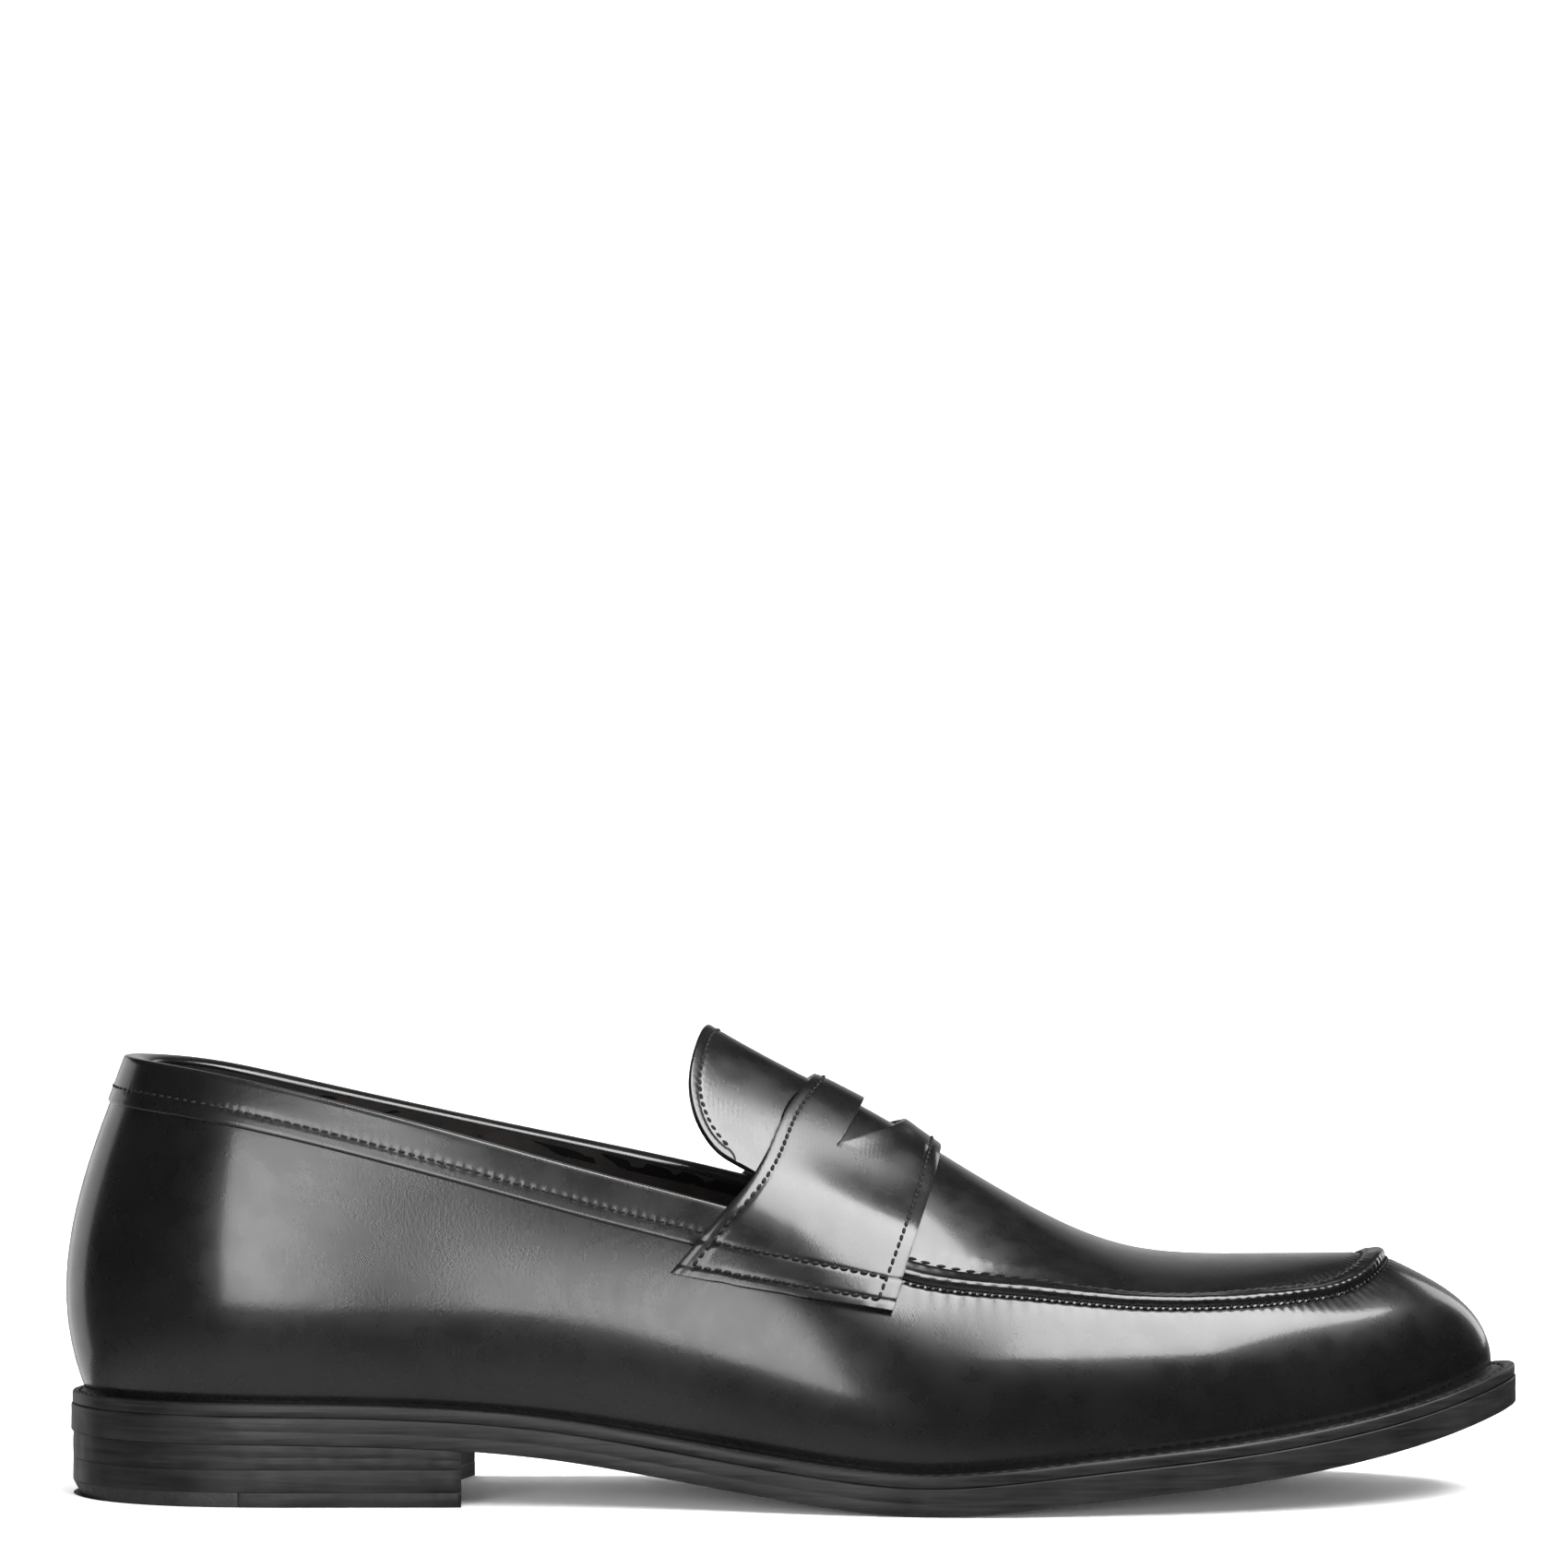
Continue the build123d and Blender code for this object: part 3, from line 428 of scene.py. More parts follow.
def grid_faces(rows, columns, wrap_rows, wrap_columns):
    """The faces between the points of a grid, which may close on itself either way."""
    faces = []
    for i in range(rows if wrap_rows else rows - 1):
        for j in range(columns if wrap_columns else columns - 1):
            a = i * columns + j
            b = i * columns + (j + 1) % columns
            c = ((i + 1) % rows) * columns + (j + 1) % columns
            d = ((i + 1) % rows) * columns + j
            faces.append((a, b, c, d))
    return faces


def tube(name, sections, material, closed=False, sharp=40.0):
    """Closed sections joined into one body, with flat ends unless it closes on itself."""
    sections = np.asarray(sections)
    rows, columns = sections.shape[:2]
    faces = grid_faces(rows, columns, closed, True)
    if not closed:
        faces.append(tuple(range(columns)))
        faces.append(tuple((rows - 1) * columns + j for j in range(columns)))
    return make_object(name, to_metres(sections).reshape(-1, 3), faces, material, sharp)


def sheet_body(name, outer, inner, material, edge=5, sharp=40.0):
    """A thick sheet from two matching grids of points, with a rounded rim between them."""
    outer = np.asarray(outer)
    inner = np.asarray(inner)
    rows, columns = outer.shape[:2]
    vertices = [outer.reshape(-1, 3), inner.reshape(-1, 3)]
    count = rows * columns
    faces = grid_faces(rows, columns, False, False)
    faces += [tuple(count + k for k in reversed(f)) for f in faces]
    border = ([(0, j) for j in range(columns)] + [(i, columns - 1) for i in range(1, rows)]
              + [(rows - 1, j) for j in range(columns - 2, -1, -1)]
              + [(i, 0) for i in range(rows - 2, 0, -1)])
    rings = [[i * columns + j for i, j in border]]
    start = 2 * count
    top = np.array([outer[i, j] for i, j in border])
    low = np.array([inner[i, j] for i, j in border])
    centre = (top + low) / 2
    before = np.array([outer[min(max(i, 1), rows - 2), min(max(j, 1), columns - 2)]
                       for i, j in border])
    away = unit(top - before + 1e-9)
    half = np.linalg.norm(top - low, axis=1)[:, None] / 2
    for k in range(1, edge):
        a = math.pi * k / edge
        ring = centre + (top - centre) * math.cos(a) + away * half * 0.55 * math.sin(a)
        vertices.append(ring)
        rings.append(list(range(start, start + len(border))))
        start += len(border)
    rings.append([count + i * columns + j for i, j in border])
    for one, two in zip(rings[:-1], rings[1:]):
        for k in range(len(border)):
            n = (k + 1) % len(border)
            faces.append((one[n], one[k], two[k], two[n]))
    return make_object(name, to_metres(np.vstack(vertices)), faces, material, sharp)


def join_mesh(name, vertex_sets, face_sets, material):
    """Many small closed bodies in one object."""
    vertices = np.vstack(vertex_sets)
    faces = []
    start = 0
    for points, own in zip(vertex_sets, face_sets):
        faces += [tuple(start + k for k in f) for f in own]
        start += len(points)
    mesh = bpy.data.meshes.new(name)
    mesh.from_pydata([tuple(v) for v in to_metres(vertices)], [], faces)
    for polygon in mesh.polygons:
        polygon.use_smooth = True
    mesh.materials.append(material)
    obj = bpy.data.objects.new(name, mesh)
    bpy.context.scene.collection.objects.link(obj)
    return obj


def stitch_shape(rings=7, sides=7):
    """A stitch along X from -1 to 1, with its two ends dipping, as rings of points and faces."""
    points = [(-1.0, 0.0, -0.9)]
    for i in range(1, rings):
        a = math.pi * i / rings
        x = -math.cos(a)
        for k in range(sides):
            b = 2 * math.pi * k / sides
            points.append((x, math.sin(a) ** 0.6 * math.cos(b),
                           math.sin(a) ** 0.6 * math.sin(b) - 0.9 * x * x))
    points.append((1.0, 0.0, -0.9))
    faces = []
    last = len(points) - 1
    for k in range(sides):
        n = (k + 1) % sides
        faces.append((0, 1 + n, 1 + k))
        faces.append((last, last - sides + k, last - sides + n))
        for i in range(rings - 2):
            a = 1 + i * sides
            faces.append((a + k, a + n, a + sides + n, a + sides + k))
    return np.array(points), faces


STITCH = stitch_shape()


def stitch_row(name, path, normals, pitch, length, radius, slant, seed):
    """A row of stitches along a path of close points, standing on the surface with that normal."""
    path = np.asarray(path)
    normals = np.asarray(normals)
    rng = np.random.default_rng(seed)
    run = np.concatenate([[0], np.cumsum(np.linalg.norm(np.diff(path, axis=0), axis=1))])
    count = max(2, int(run[-1] / pitch))
    at = (np.arange(count) + 0.5) * run[-1] / count
    vertex_sets = []
    for distance in at:
        distance += rng.normal(0, 0.02) * pitch
        spot = np.array([np.interp(distance, run, path[:, k]) for k in range(3)])
        ahead = np.array([np.interp(distance + 0.3, run, path[:, k]) for k in range(3)])
        back = np.array([np.interp(distance - 0.3, run, path[:, k]) for k in range(3)])
        up = unit(np.array([np.interp(distance, run, normals[:, k]) for k in range(3)]))
        along = unit(ahead - back)
        along = unit(along - (along @ up) * up)
        side = np.cross(up, along)
        turn = slant + rng.normal(0, 0.03)
        along, side = (math.cos(turn) * along + math.sin(turn) * side,
                       math.cos(turn) * side - math.sin(turn) * along)
        shape = STITCH[0]
        vertex_sets.append(spot + shape[:, :1] * along * length / 2
                           + shape[:, 1:2] * side * radius
                           + (shape[:, 2:] * 0.8 + 0.25) * up * radius)
    return join_mesh(name, vertex_sets, [STITCH[1]] * len(vertex_sets), THREAD)


def fasten(obj, slot, *nodes):
    """Put a piece on the shoe's body, in place of the CAD nodes named. The slot is not used."""
    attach(obj, ROOT)
    if nodes:
        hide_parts(*nodes)


def fill_ramp(node, stops):
    """Give a colour ramp its stops: positions and colours."""
    elements = node.color_ramp.elements
    for element, (position, color) in ((elements[0], stops[0]), (elements[1], stops[-1])):
        element.position = position
        element.color = (*color, 1)
    for position, color in stops[1:-1]:
        elements.new(position).color = (*color, 1)


# ---- materials ----------------------------------------------------------------------------------
class Nodes:
    """A short way to wire a material's nodes."""

    def __init__(self, name, color, roughness, coat=0.0, specular=0.5):
        self.material = bpy.data.materials.new(name)
        self.material.use_nodes = True
        self.tree = self.material.node_tree
        self.shader = self.tree.nodes["Principled BSDF"]
        self.shader.inputs["Base Color"].default_value = (*color, 1.0)
        self.shader.inputs["Roughness"].default_value = roughness
        self.shader.inputs["Coat Weight"].default_value = coat
        self.shader.inputs["Coat Roughness"].default_value = 0.08
        self.shader.inputs["Specular IOR Level"].default_value = specular
        self.place = self.tree.nodes.new("ShaderNodeTexCoord").outputs["Object"]

    def link(self, source, node, socket):
        self.tree.links.new(source, node.inputs[socket])

    def mapping(self, scale, turn=(0, 0, 0)):
        node = self.tree.nodes.new("ShaderNodeMapping")
        node.inputs["Scale"].default_value = scale
        node.inputs["Rotation"].default_value = turn
        self.link(self.place, node, "Vector")
        return node.outputs["Vector"]

    def noise(self, scale, detail, vector=None, rough=0.5):
        node = self.tree.nodes.new("ShaderNodeTexNoise")
        node.inputs["Scale"].default_value = scale
        node.inputs["Detail"].default_value = detail
        node.inputs["Roughness"].default_value = rough
        self.link(vector or self.place, node, "Vector")
        return node.outputs["Fac"]

    def cells(self, scale):
        node = self.tree.nodes.new("ShaderNodeTexVoronoi")
        node.inputs["Scale"].default_value = scale
        self.link(self.place, node, "Vector")
        return node.outputs["Distance"]

    def waves(self, scale, turn, distortion):
        node = self.tree.nodes.new("ShaderNodeTexWave")
        node.inputs["Scale"].default_value = scale
        node.inputs["Distortion"].default_value = distortion
        node.inputs["Detail"].default_value = 1.0
        node.inputs["Detail Scale"].default_value = 1.5
        self.link(self.mapping((1, 1, 1), turn), node, "Vector")
        return node.outputs["Fac"]

    def remap(self, source, low, high, new_low, new_high):
        node = self.tree.nodes.new("ShaderNodeMapRange")
        values = {"From Min": low, "From Max": high, "To Min": new_low, "To Max": new_high}
        for socket, value in values.items():
            node.inputs[socket].default_value = value
        self.link(source, node, "Value")
        return node.outputs["Result"]

    def math(self, kind, a, b):
        node = self.tree.nodes.new("ShaderNodeMath")
        node.operation = kind
        for k, value in enumerate((a, b)):
            if isinstance(value, (int, float)):
                node.inputs[k].default_value = value
            else:
                self.tree.links.new(value, node.inputs[k])
        return node.outputs["Value"]

    def ramp(self, source, stops):
        node = self.tree.nodes.new("ShaderNodeValToRGB")
        fill_ramp(node, stops)
        self.link(source, node, "Fac")
        return node.outputs["Color"]

    def bump(self, source, strength, distance, under=None):
        node = self.tree.nodes.new("ShaderNodeBump")
        node.inputs["Strength"].default_value = strength
        node.inputs["Distance"].default_value = distance
        self.link(source, node, "Height")
        if under:
            self.link(under, node, "Normal")
        return node.outputs["Normal"]

    def finish(self, color=None, roughness=None, normal=None, coat_normal=None):
        wanted = {"Base Color": color, "Roughness": roughness, "Normal": normal,
                  "Coat Normal": coat_normal}
        for socket, source in wanted.items():
            if source:
                self.link(source, self.shader, socket)
        return self.material


def polished_leather(name, hatch):
    """Brushed-off black leather: a deep gloss over a fine grain, creased finely on the bends."""
    n = Nodes(name, (0.003, 0.003, 0.003), 0.28, coat=0.6)
    grain = n.cells(2600.0)
    pores = n.noise(1500.0, 3.0)
    cloud = n.noise(45.0, 3.0)
    height = n.math("ADD", n.math("MULTIPLY", grain, 0.5), pores)
    fine = n.bump(height, 0.16, 0.00005)
    crossed = n.math("MULTIPLY", n.waves(900.0, (0.3, 0.5, 0.7), 3.0),
                     n.waves(800.0, (-0.5, 0.4, -0.6), 3.0))
    creased = n.bump(n.math("MULTIPLY", crossed, n.remap(cloud, 0.4, 0.6, 0.3, 1.0)),
                     hatch, 0.00005, fine)
    rough = n.remap(n.noise(160.0, 4.0), 0.3, 0.7, 0.23, 0.33)
    color = n.ramp(cloud, [(0.3, (0.0022, 0.0022, 0.0023)), (0.7, (0.0042, 0.004, 0.004))])
    return n.finish(color, rough, creased, creased)


def sole_edge_leather(name, tint):
    """Waxed edge of sole leather: dark grey, combed along the edge by the finishing wheel."""
    n = Nodes(name, (0.02, 0.02, 0.021), 0.42, specular=0.3)
    along = n.mapping((60.0, 60.0, 1400.0))
    streak = n.noise(1.0, 4.0, along, 0.6)
    fibre = n.noise(900.0, 4.0)
    patch = n.noise(70.0, 3.0)
    height = n.math("ADD", streak, n.math("MULTIPLY", fibre, 0.5))
    normal = n.bump(height, 0.35, 0.00012)
    dark = tuple(0.0035 * tint * c for c in (1.0, 1.0, 1.03))
    light = tuple(0.012 * tint * c for c in (1.0, 0.99, 1.0))
    color = n.ramp(n.math("ADD", n.math("MULTIPLY", streak, 0.6), n.math("MULTIPLY", patch, 0.4)),
                   [(0.36, dark), (0.62, light)])
    rough = n.remap(patch, 0.3, 0.7, 0.32, 0.5)
    return n.finish(color, rough, normal)


def plain_grain(name, dark, light, roughness, scale, strength, depth=0.0001):
    """A matt or satin surface with a grain of its own."""
    n = Nodes(name, light, roughness)
    fine = n.noise(scale, 4.0)
    cells = n.cells(scale * 1.5)
    patch = n.noise(scale / 12, 3.0)
    normal = n.bump(n.math("ADD", fine, cells), strength, depth)
    color = n.ramp(patch, [(0.35, dark), (0.65, light)])
    rough = n.remap(fine, 0.3, 0.7, roughness - 0.07, roughness + 0.07)
    return n.finish(color, rough, normal)


def thread_material(name):
    """Twisted waxed thread."""
    n = Nodes(name, (0.01, 0.01, 0.01), 0.5, specular=0.35)
    twist = n.waves(1500.0, (0.0, 0.8, 0.4), 0.5)
    return n.finish(n.ramp(twist, [(0.0, (0.002, 0.002, 0.002)), (1.0, (0.006, 0.0055, 0.005))]),
                    None, n.bump(twist, 0.4, 0.0001))


def metal(name, color, roughness):
    """Drawn metal, brushed along the shoe."""
    n = Nodes(name, color, roughness)
    n.shader.inputs["Metallic"].default_value = 1.0
    brushed = n.noise(1.0, 3.0, n.mapping((200.0, 2500.0, 2500.0)))
    rough = n.remap(brushed, 0.3, 0.7, roughness - 0.08, roughness + 0.1)
    return n.finish(None, rough, n.bump(brushed, 0.2, 0.00005))


LEATHER = polished_leather("polished_leather", 0.1)
CREASED = polished_leather("polished_leather_creased", 0.15)
CUT_EDGE = plain_grain("inked_cut_edge", (0.01, 0.01, 0.01), (0.02, 0.019, 0.018), 0.45, 1500, 0.4)
LINING_LEATHER = plain_grain(
    "lining_leather", (0.007, 0.006, 0.0055), (0.014, 0.012, 0.011), 0.55, 1200, 0.3)
TAUPE = plain_grain("taupe_backing", (0.09, 0.078, 0.07), (0.14, 0.122, 0.11), 0.6, 900, 0.4)
SOLE_EDGE = sole_edge_leather("sole_edge", 1.0)
HEEL_EDGE = sole_edge_leather("heel_edge", 0.85)
RUBBER = plain_grain("heel_rubber", (0.006, 0.006, 0.006), (0.013, 0.013, 0.013), 0.55, 800, 0.6)
THREAD = thread_material("black_thread")
CORK = plain_grain("cork", (0.2, 0.11, 0.05), (0.5, 0.32, 0.18), 0.85, 400, 0.8, 0.0005)
BOARD = plain_grain("fibre_board", (0.3, 0.2, 0.12), (0.42, 0.3, 0.19), 0.8, 600, 0.4)
FOAM = plain_grain("latex_foam", (0.5, 0.47, 0.4), (0.62, 0.6, 0.52), 0.9, 700, 0.8, 0.0004)
STEEL = metal("spring_steel", (0.45, 0.45, 0.46), 0.32)
BRASS = metal("nail_brass", (0.72, 0.5, 0.22), 0.3)


# ---- the walls ----------------------------------------------------------------------------------
def roll(thickness, steps=6):
    """A half-round rim: offsets from the outer face and rise above the edge."""
    a = np.linspace(0, math.pi, steps + 2)[1:-1]
    return -thickness / 2 + thickness / 2 * np.cos(a), thickness / 2 * np.sin(a)


def make_skirt():
    """The wall of the shoe: pleated under the apron's seam, closed by a seam at the heel."""
    u = np.linspace(0.0, ROUND, 841)[:-1]
    tall = wall_height(u)[:, None]
    share = np.linspace(1.0, 0.0, 64) ** 1.5
    drop = share[None, :] * tall
    offset_roll, rise = roll(SKIRT)
    inner_share = np.linspace(0.0, 1.0, 18)
    drops = np.hstack([drop, np.repeat(-rise[None, :], len(u), 0), inner_share[None, :] * tall])
    offsets = np.hstack([
        np.zeros_like(drop),
        np.repeat(offset_roll[None, :], len(u), 0),
        np.full((len(u), len(inner_share)), -SKIRT),
    ])
    edge = upper_edge(u)
    seam = smooth(edge[:, 0], 168.0, 176.0)[:, None]
    outer = offsets == 0.0
    groove = -0.4 * dent(drops, 2.6, 0.55)
    pull = 0.08 * np.cos(2 * math.pi * u / PUCKER_PITCH)[:, None] * np.exp(
        -np.clip(drops - 3.2, 0, None) / 1.6) * (drops > 2.2)
    near = np.minimum(u, ROUND - u)[:, None]
    back_seam = -0.28 * dent(near, 0.0, 0.45) + 0.10 * dent(near, 1.6, 1.0)
    wave = 0.16 * ripple(u[:, None] / 16.0, drops / 13.0, 5) * smooth(drops, 2.0, 14.0)
    creases = 0.05 * ripple(u[:, None] / 5.0, drops / 22.0, 9) * smooth(tall - drops, 14.0, 0.0)
    offsets = offsets + outer * (seam * (groove + pull) + back_seam + wave + creases)
    v = 1.0 - drops / tall
    sections = wall(u[:, None], v, offsets)
    skirt = tube("skirt_leather", sections, LEATHER, closed=True, sharp=60.0)
    fasten(skirt, "upper_leather", "skirt")


SEAM_START = place_near(170.0, True)
SEAM_END = place_near(170.0, False)
BAND_START = place_near(146.0, False) - ROUND
BAND_END = place_near(146.0, True)


def inward_at_edge(u):
    """Horizontal unit vector from the top edge into the shoe."""
    d = 0.3
    way = upper_edge(u + d)[..., :2] - upper_edge(u - d)[..., :2]
    return unit(np.stack([-way[..., 1], way[..., 0]], -1))


def ridge_point(u, reach, height):
    """A point near the apron's seam: reach inwards from it (outwards if negative) and up."""
    u, reach = np.broadcast_arrays(u, reach)
    height = np.broadcast_to(height, u.shape)
    tall = wall_height(u)
    into = inward_at_edge(u)
    at = upper_edge(u)[..., :2] + np.clip(reach, 0, None)[..., None] * into
    top = over_point(at[..., 0], at[..., 1], height)
    side = wall(u, 1.0 - np.clip(-reach, 0, None) / tall, height)
    blend = smooth(reach, -1.2, 1.2)[..., None]
    return blend * top + (1 - blend) * side


def make_ridge():
    """The rolled seam: a flat inner part, a crest line and a steep outer side over the stitches."""
    u = np.linspace(SEAM_START, SEAM_END, 760)
    reach = np.array([2.3, 2.0, 1.7, 1.2, 0.6, 0.0, -0.5, -0.9, -1.25, -1.6, -1.9, -2.1, -2.2,
                      -1.6, -0.6, 0.6, 1.6])
    height = np.array([0.12, 0.45, 0.72, 0.86, 0.95, 1.08, 1.28, 1.36, 1.3, 1.05, 0.65, 0.3, -0.1,
                       -0.35, -0.5, -0.5, -0.2])
    wobble = 0.05 * ripple(u[:, None] / 2.2, reach[None, :] / 3.0, 21)
    nip = 0.09 * np.cos(2 * math.pi * u / PUCKER_PITCH)[:, None]
    outer_side = dent(reach, -1.8, 0.6)[None, :]
    inner_side = dent(reach, 1.9, 0.5)[None, :]
    shown = (height > 0)[None, :]
    lift = height[None, :] + shown * (wobble + nip * (outer_side + inner_side))
    sections = ridge_point(u[:, None], reach[None, :], lift)
    ridge = tube("apron_ridge_roll", sections, CREASED, sharp=70.0)
    fasten(ridge, "upper_leather", "apron_ridge")


def make_band():
    """The mouth's binding: raw lower edge, sewn leg, rounded fold and a short leg inside."""
    u = np.linspace(BAND_START, BAND_END, 560)
    lined = SKIRT + STIFFENER + 2 * FIT + LINING
    out = BAND_OUT
    middle = (out - lined) / 2
    half = (out + lined) / 2
    legs = [(BAND_HEIGHT - 0.1, 0.05), (BAND_HEIGHT, out * 0.5), (BAND_HEIGHT - 0.25, out)]
    for drop in (7.6, 6.8, 6.2, 5.6, 5.0, 4.2, 3.2, 2.2, 1.2, 0.4):
        legs.append((drop, out))
    for a in np.linspace(0.12, math.pi - 0.12, 12):
        legs.append((-BAND_TOP * math.sin(a) ** 0.7, middle + half * math.cos(a)))
    for drop in (0.6, 1.6, 2.8):
        legs.append((drop, -lined))
    legs += [(2.9, -lined + 0.4), (1.0, -lined + 0.5), (0.05, -lined + 0.9), (0.0, middle),
             (0.05, 0.1), (2.0, 0.12), (5.0, 0.1)]
    drop = np.array([p[0] for p in legs])[None, :]
    offset = np.array([p[1] for p in legs])[None, :]
    outside = offset > out - 0.01
    row = dent(drop, BAND_ROW, 0.4) * outside
    along = u[:, None]
    offsets = offset - row * (0.13 + 0.07 * np.cos(math.pi * along))
    offsets = offsets + outside * 0.04 * ripple(along / 9.0, drop / 6.0, 31)
    edge_station = upper_edge(u)[:, 0][:, None]
    under = smooth(edge_station + drop * 0.9, 137.0, 141.0) * (offset > 0.2)
    offsets = offsets * (1 - 0.8 * under) + 0.05 * under
    drops = drop + 0.12 * ripple(along / 11.0, along * 0.0, 33) * (drop > 7.0)
    v = 1.0 - drops / wall_height(u)[:, None]
    band = tube("collar_binding", wall(along, v, offsets), CREASED, sharp=60.0)
    fasten(band, "upper_leather", "collar_band")
    path = wall(u, 1.0 - BAND_ROW / wall_height(u), out - 0.12)
    above = wall(u, 1.0 - BAND_ROW / wall_height(u), out + 1.0)
    visible = upper_edge(u)[:, 0] < 137.0
    fasten(stitch_row("collar_stitches", path[visible], (above - path)[visible], 2.0, 1.6, 0.3,
                      0.1, 3), "upper_leather")


# ---- the top ------------------------------------------------------------------------------------
def make_apron():
    """The raised plug: from its seam in to a spine under the crest."""
    u = np.linspace(place_near(150.0, True), place_near(150.0, False), 620)
    edge = upper_edge(u)[:, :2] + (SKIRT + 0.1) * inward_at_edge(u)
    spine_station = np.clip(edge[:, 0], SPINE_START, SPINE_END)
    spine = np.column_stack([spine_station, crest_side(spine_station)])
    share = (np.linspace(0.0, 1.0, 46) ** 0.75)[None, :, None]
    plan = spine[:, None, :] * share + edge[:, None, :] * (1 - share)
    from_edge = np.linalg.norm(plan - edge[:, None, :], axis=-1)
    seam = smooth(edge[:, 0], 168.0, 176.0)[:, None]
    groove = -0.35 * dent(from_edge, 1.4, 0.6) * seam
    pull = 0.10 * np.cos(2 * math.pi * u / PUCKER_PITCH)[:, None] * np.exp(
        -np.clip(from_edge - 1.6, 0, None) / 1.2) * (from_edge > 1.2) * seam
    wave = 0.07 * ripple(plan[..., 0] / 14.0, plan[..., 1] / 12.0, 41)
    offset = groove + pull + wave * smooth(from_edge, 2.0, 9.0)
    outer = over_point(plan[..., 0], plan[..., 1], offset)
    inner = over_point(plan[..., 0], plan[..., 1], -APRON)
    apron = sheet_body("apron_leather", outer, inner, LEATHER, edge=3)
    fasten(apron, "upper_leather", "apron")


def seam_stitches():
    """The two rows of the apron's seam: short beads outside, longer stitches inside."""
    u = np.linspace(place_near(172.5, True), place_near(172.5, False), 900)
    rows = (("seam_stitches_outer", -2.55, -0.05, 1.5, 1.15, 0.3, 0.5, 5),
            ("seam_stitches_inner", 2.75, 0.0, 3.0, 2.1, 0.28, 0.15, 6))
    for name, reach, height, *sizes in rows:
        path = ridge_point(u, np.full_like(u, reach), height)
        above = ridge_point(u, np.full_like(u, reach), height + 1.0)
        fasten(stitch_row(name, path, above - path, *sizes), "upper_leather")


# ---- the tongue ---------------------------------------------------------------------------------
def tongue_front(side):
    """Station of the tongue's front edge."""
    reach = abs(side - crest_side(150.0)) / TONGUE_WING
    return TONGUE_FRONT - TONGUE_SWEEP * reach ** 1.25


def tongue_plan(inset, rows=190, columns=60):
    """Plan grid of the tongue, drawn in by an inset: rows from wing to wing, columns back to front."""
    wing = TONGUE_WING - inset
    sides, back = np.array([p[1] for p in TONGUE_BACK]), np.array([p[0] for p in TONGUE_BACK])
    turned = spline(np.arcsin(sides / TONGUE_WING), back)
    angle = np.linspace(-math.pi / 2, math.pi / 2, rows)
    reach = wing * np.sin(angle)
    rear = turned(np.abs(angle)) + inset
    side = crest_side(140.0) + reach
    tuck = TONGUE_TUCK * (1 - 0.5 * smooth(np.abs(reach), 4.0, 12.0)) + 1.6 * smooth(
        np.abs(reach), 14.0, 24.0)
    front = tongue_front(side) - inset * 0.3 + tuck
    share = np.linspace(0.0, 1.0, columns)[None, :]
    station = rear[:, None] * (1 - share) + np.maximum(front, rear + 1.0)[:, None] * share
    return station, np.repeat(side[:, None], columns, 1), np.stack([rear, side], -1)


def make_tongue():
    """The tongue and its backing, which run in under the strap."""
    layers = (
        ("tongue_leather", "tongue", 0.0, 0.0, -TONGUE, CREASED, "upper_leather"),
        ("tongue_backing", "tongue_lining", 0.7, -TONGUE - 0.02, -TONGUE - 1.0, TAUPE,
         "tongue_backing"),
    )
    for name, node, inset, high, low, material, slot_name in layers:
        station, side, rim = tongue_plan(inset)
        from_rim = np.min(np.linalg.norm(
            np.stack([station, side], -1)[:, :, None] - rim[None, None, ::4], axis=-1), axis=2)
        wave = 0.1 * ripple(station / 9.0, side / 11.0, 51) * smooth(from_rim, 1.0, 6.0)
        pad = -0.12 * dent(from_rim, 1.8, 0.5)
        dimple = pad if high == 0.0 else 0.0
        outer = over_point(station, side, high + wave + dimple)
        inner = over_point(station, side, low + wave)
        piece = sheet_body(name, outer, inner, material, edge=4, sharp=70.0)
        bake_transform(piece)
        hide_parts(node)
    rim = tongue_plan(1.8, rows=400)[2]
    keep = np.abs(rim[:, 1] - crest_side(140.0)) < TONGUE_WING - 2.0
    path = over_point(rim[keep, 0], rim[keep, 1], -0.08)
    above = over_point(rim[keep, 0], rim[keep, 1], 1.0)
    row = stitch_row("tongue_stitches", path, above - path, 2.0, 1.6, 0.36, 0.1, 52)
    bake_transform(row)


# ---- the saddle strap ---------------------------------------------------------------------------
def girth(station):
    """The strap's bed at one station: a smooth curve over the length from the crest, and its ends."""
    halves = []
    centre = float(crest_side(station))
    for outer in (True, False):
        u = place_near(station, outer)
        sign = -1.0 if outer else 1.0
        edge_side = abs(float(upper_edge(u)[1]) - centre)
        top = over_point(station, centre + sign * np.linspace(0.0, 0.6 * edge_side, 4))
        points = np.vstack([top, wall(u, np.linspace(0.72, 0.3, 4))])
        points[:, 0] = station
        halves.append(points)
    points = np.vstack([halves[0][:0:-1], halves[1]])
    steps = np.linalg.norm(np.diff(points, axis=0), axis=1)
    run = np.concatenate([[0], np.cumsum(steps)])
    run -= run[len(halves[0]) - 1]
    curve = spline(run, points)
    across = (station - STRAP_REAR[-1][1]) / (STRAP_FRONT[-1][1] - STRAP_REAR[-1][1])
    end = STRAP_END[0] + (STRAP_END[1] - STRAP_END[0]) * min(max(across, 0.0), 1.0)
    reaches = []
    for sign, limit in ((-1, run[0]), (1, run[-1])):
        fine = np.linspace(0.0, limit, 500)
        reaches.append(abs(float(fine[np.argmin(abs(curve(fine)[:, 2] - end))])))
    return curve, reaches


GIRTH_STATIONS = np.arange(121.0, 187.0, 2.5)
GIRTHS = [girth(float(s)) for s in GIRTH_STATIONS]


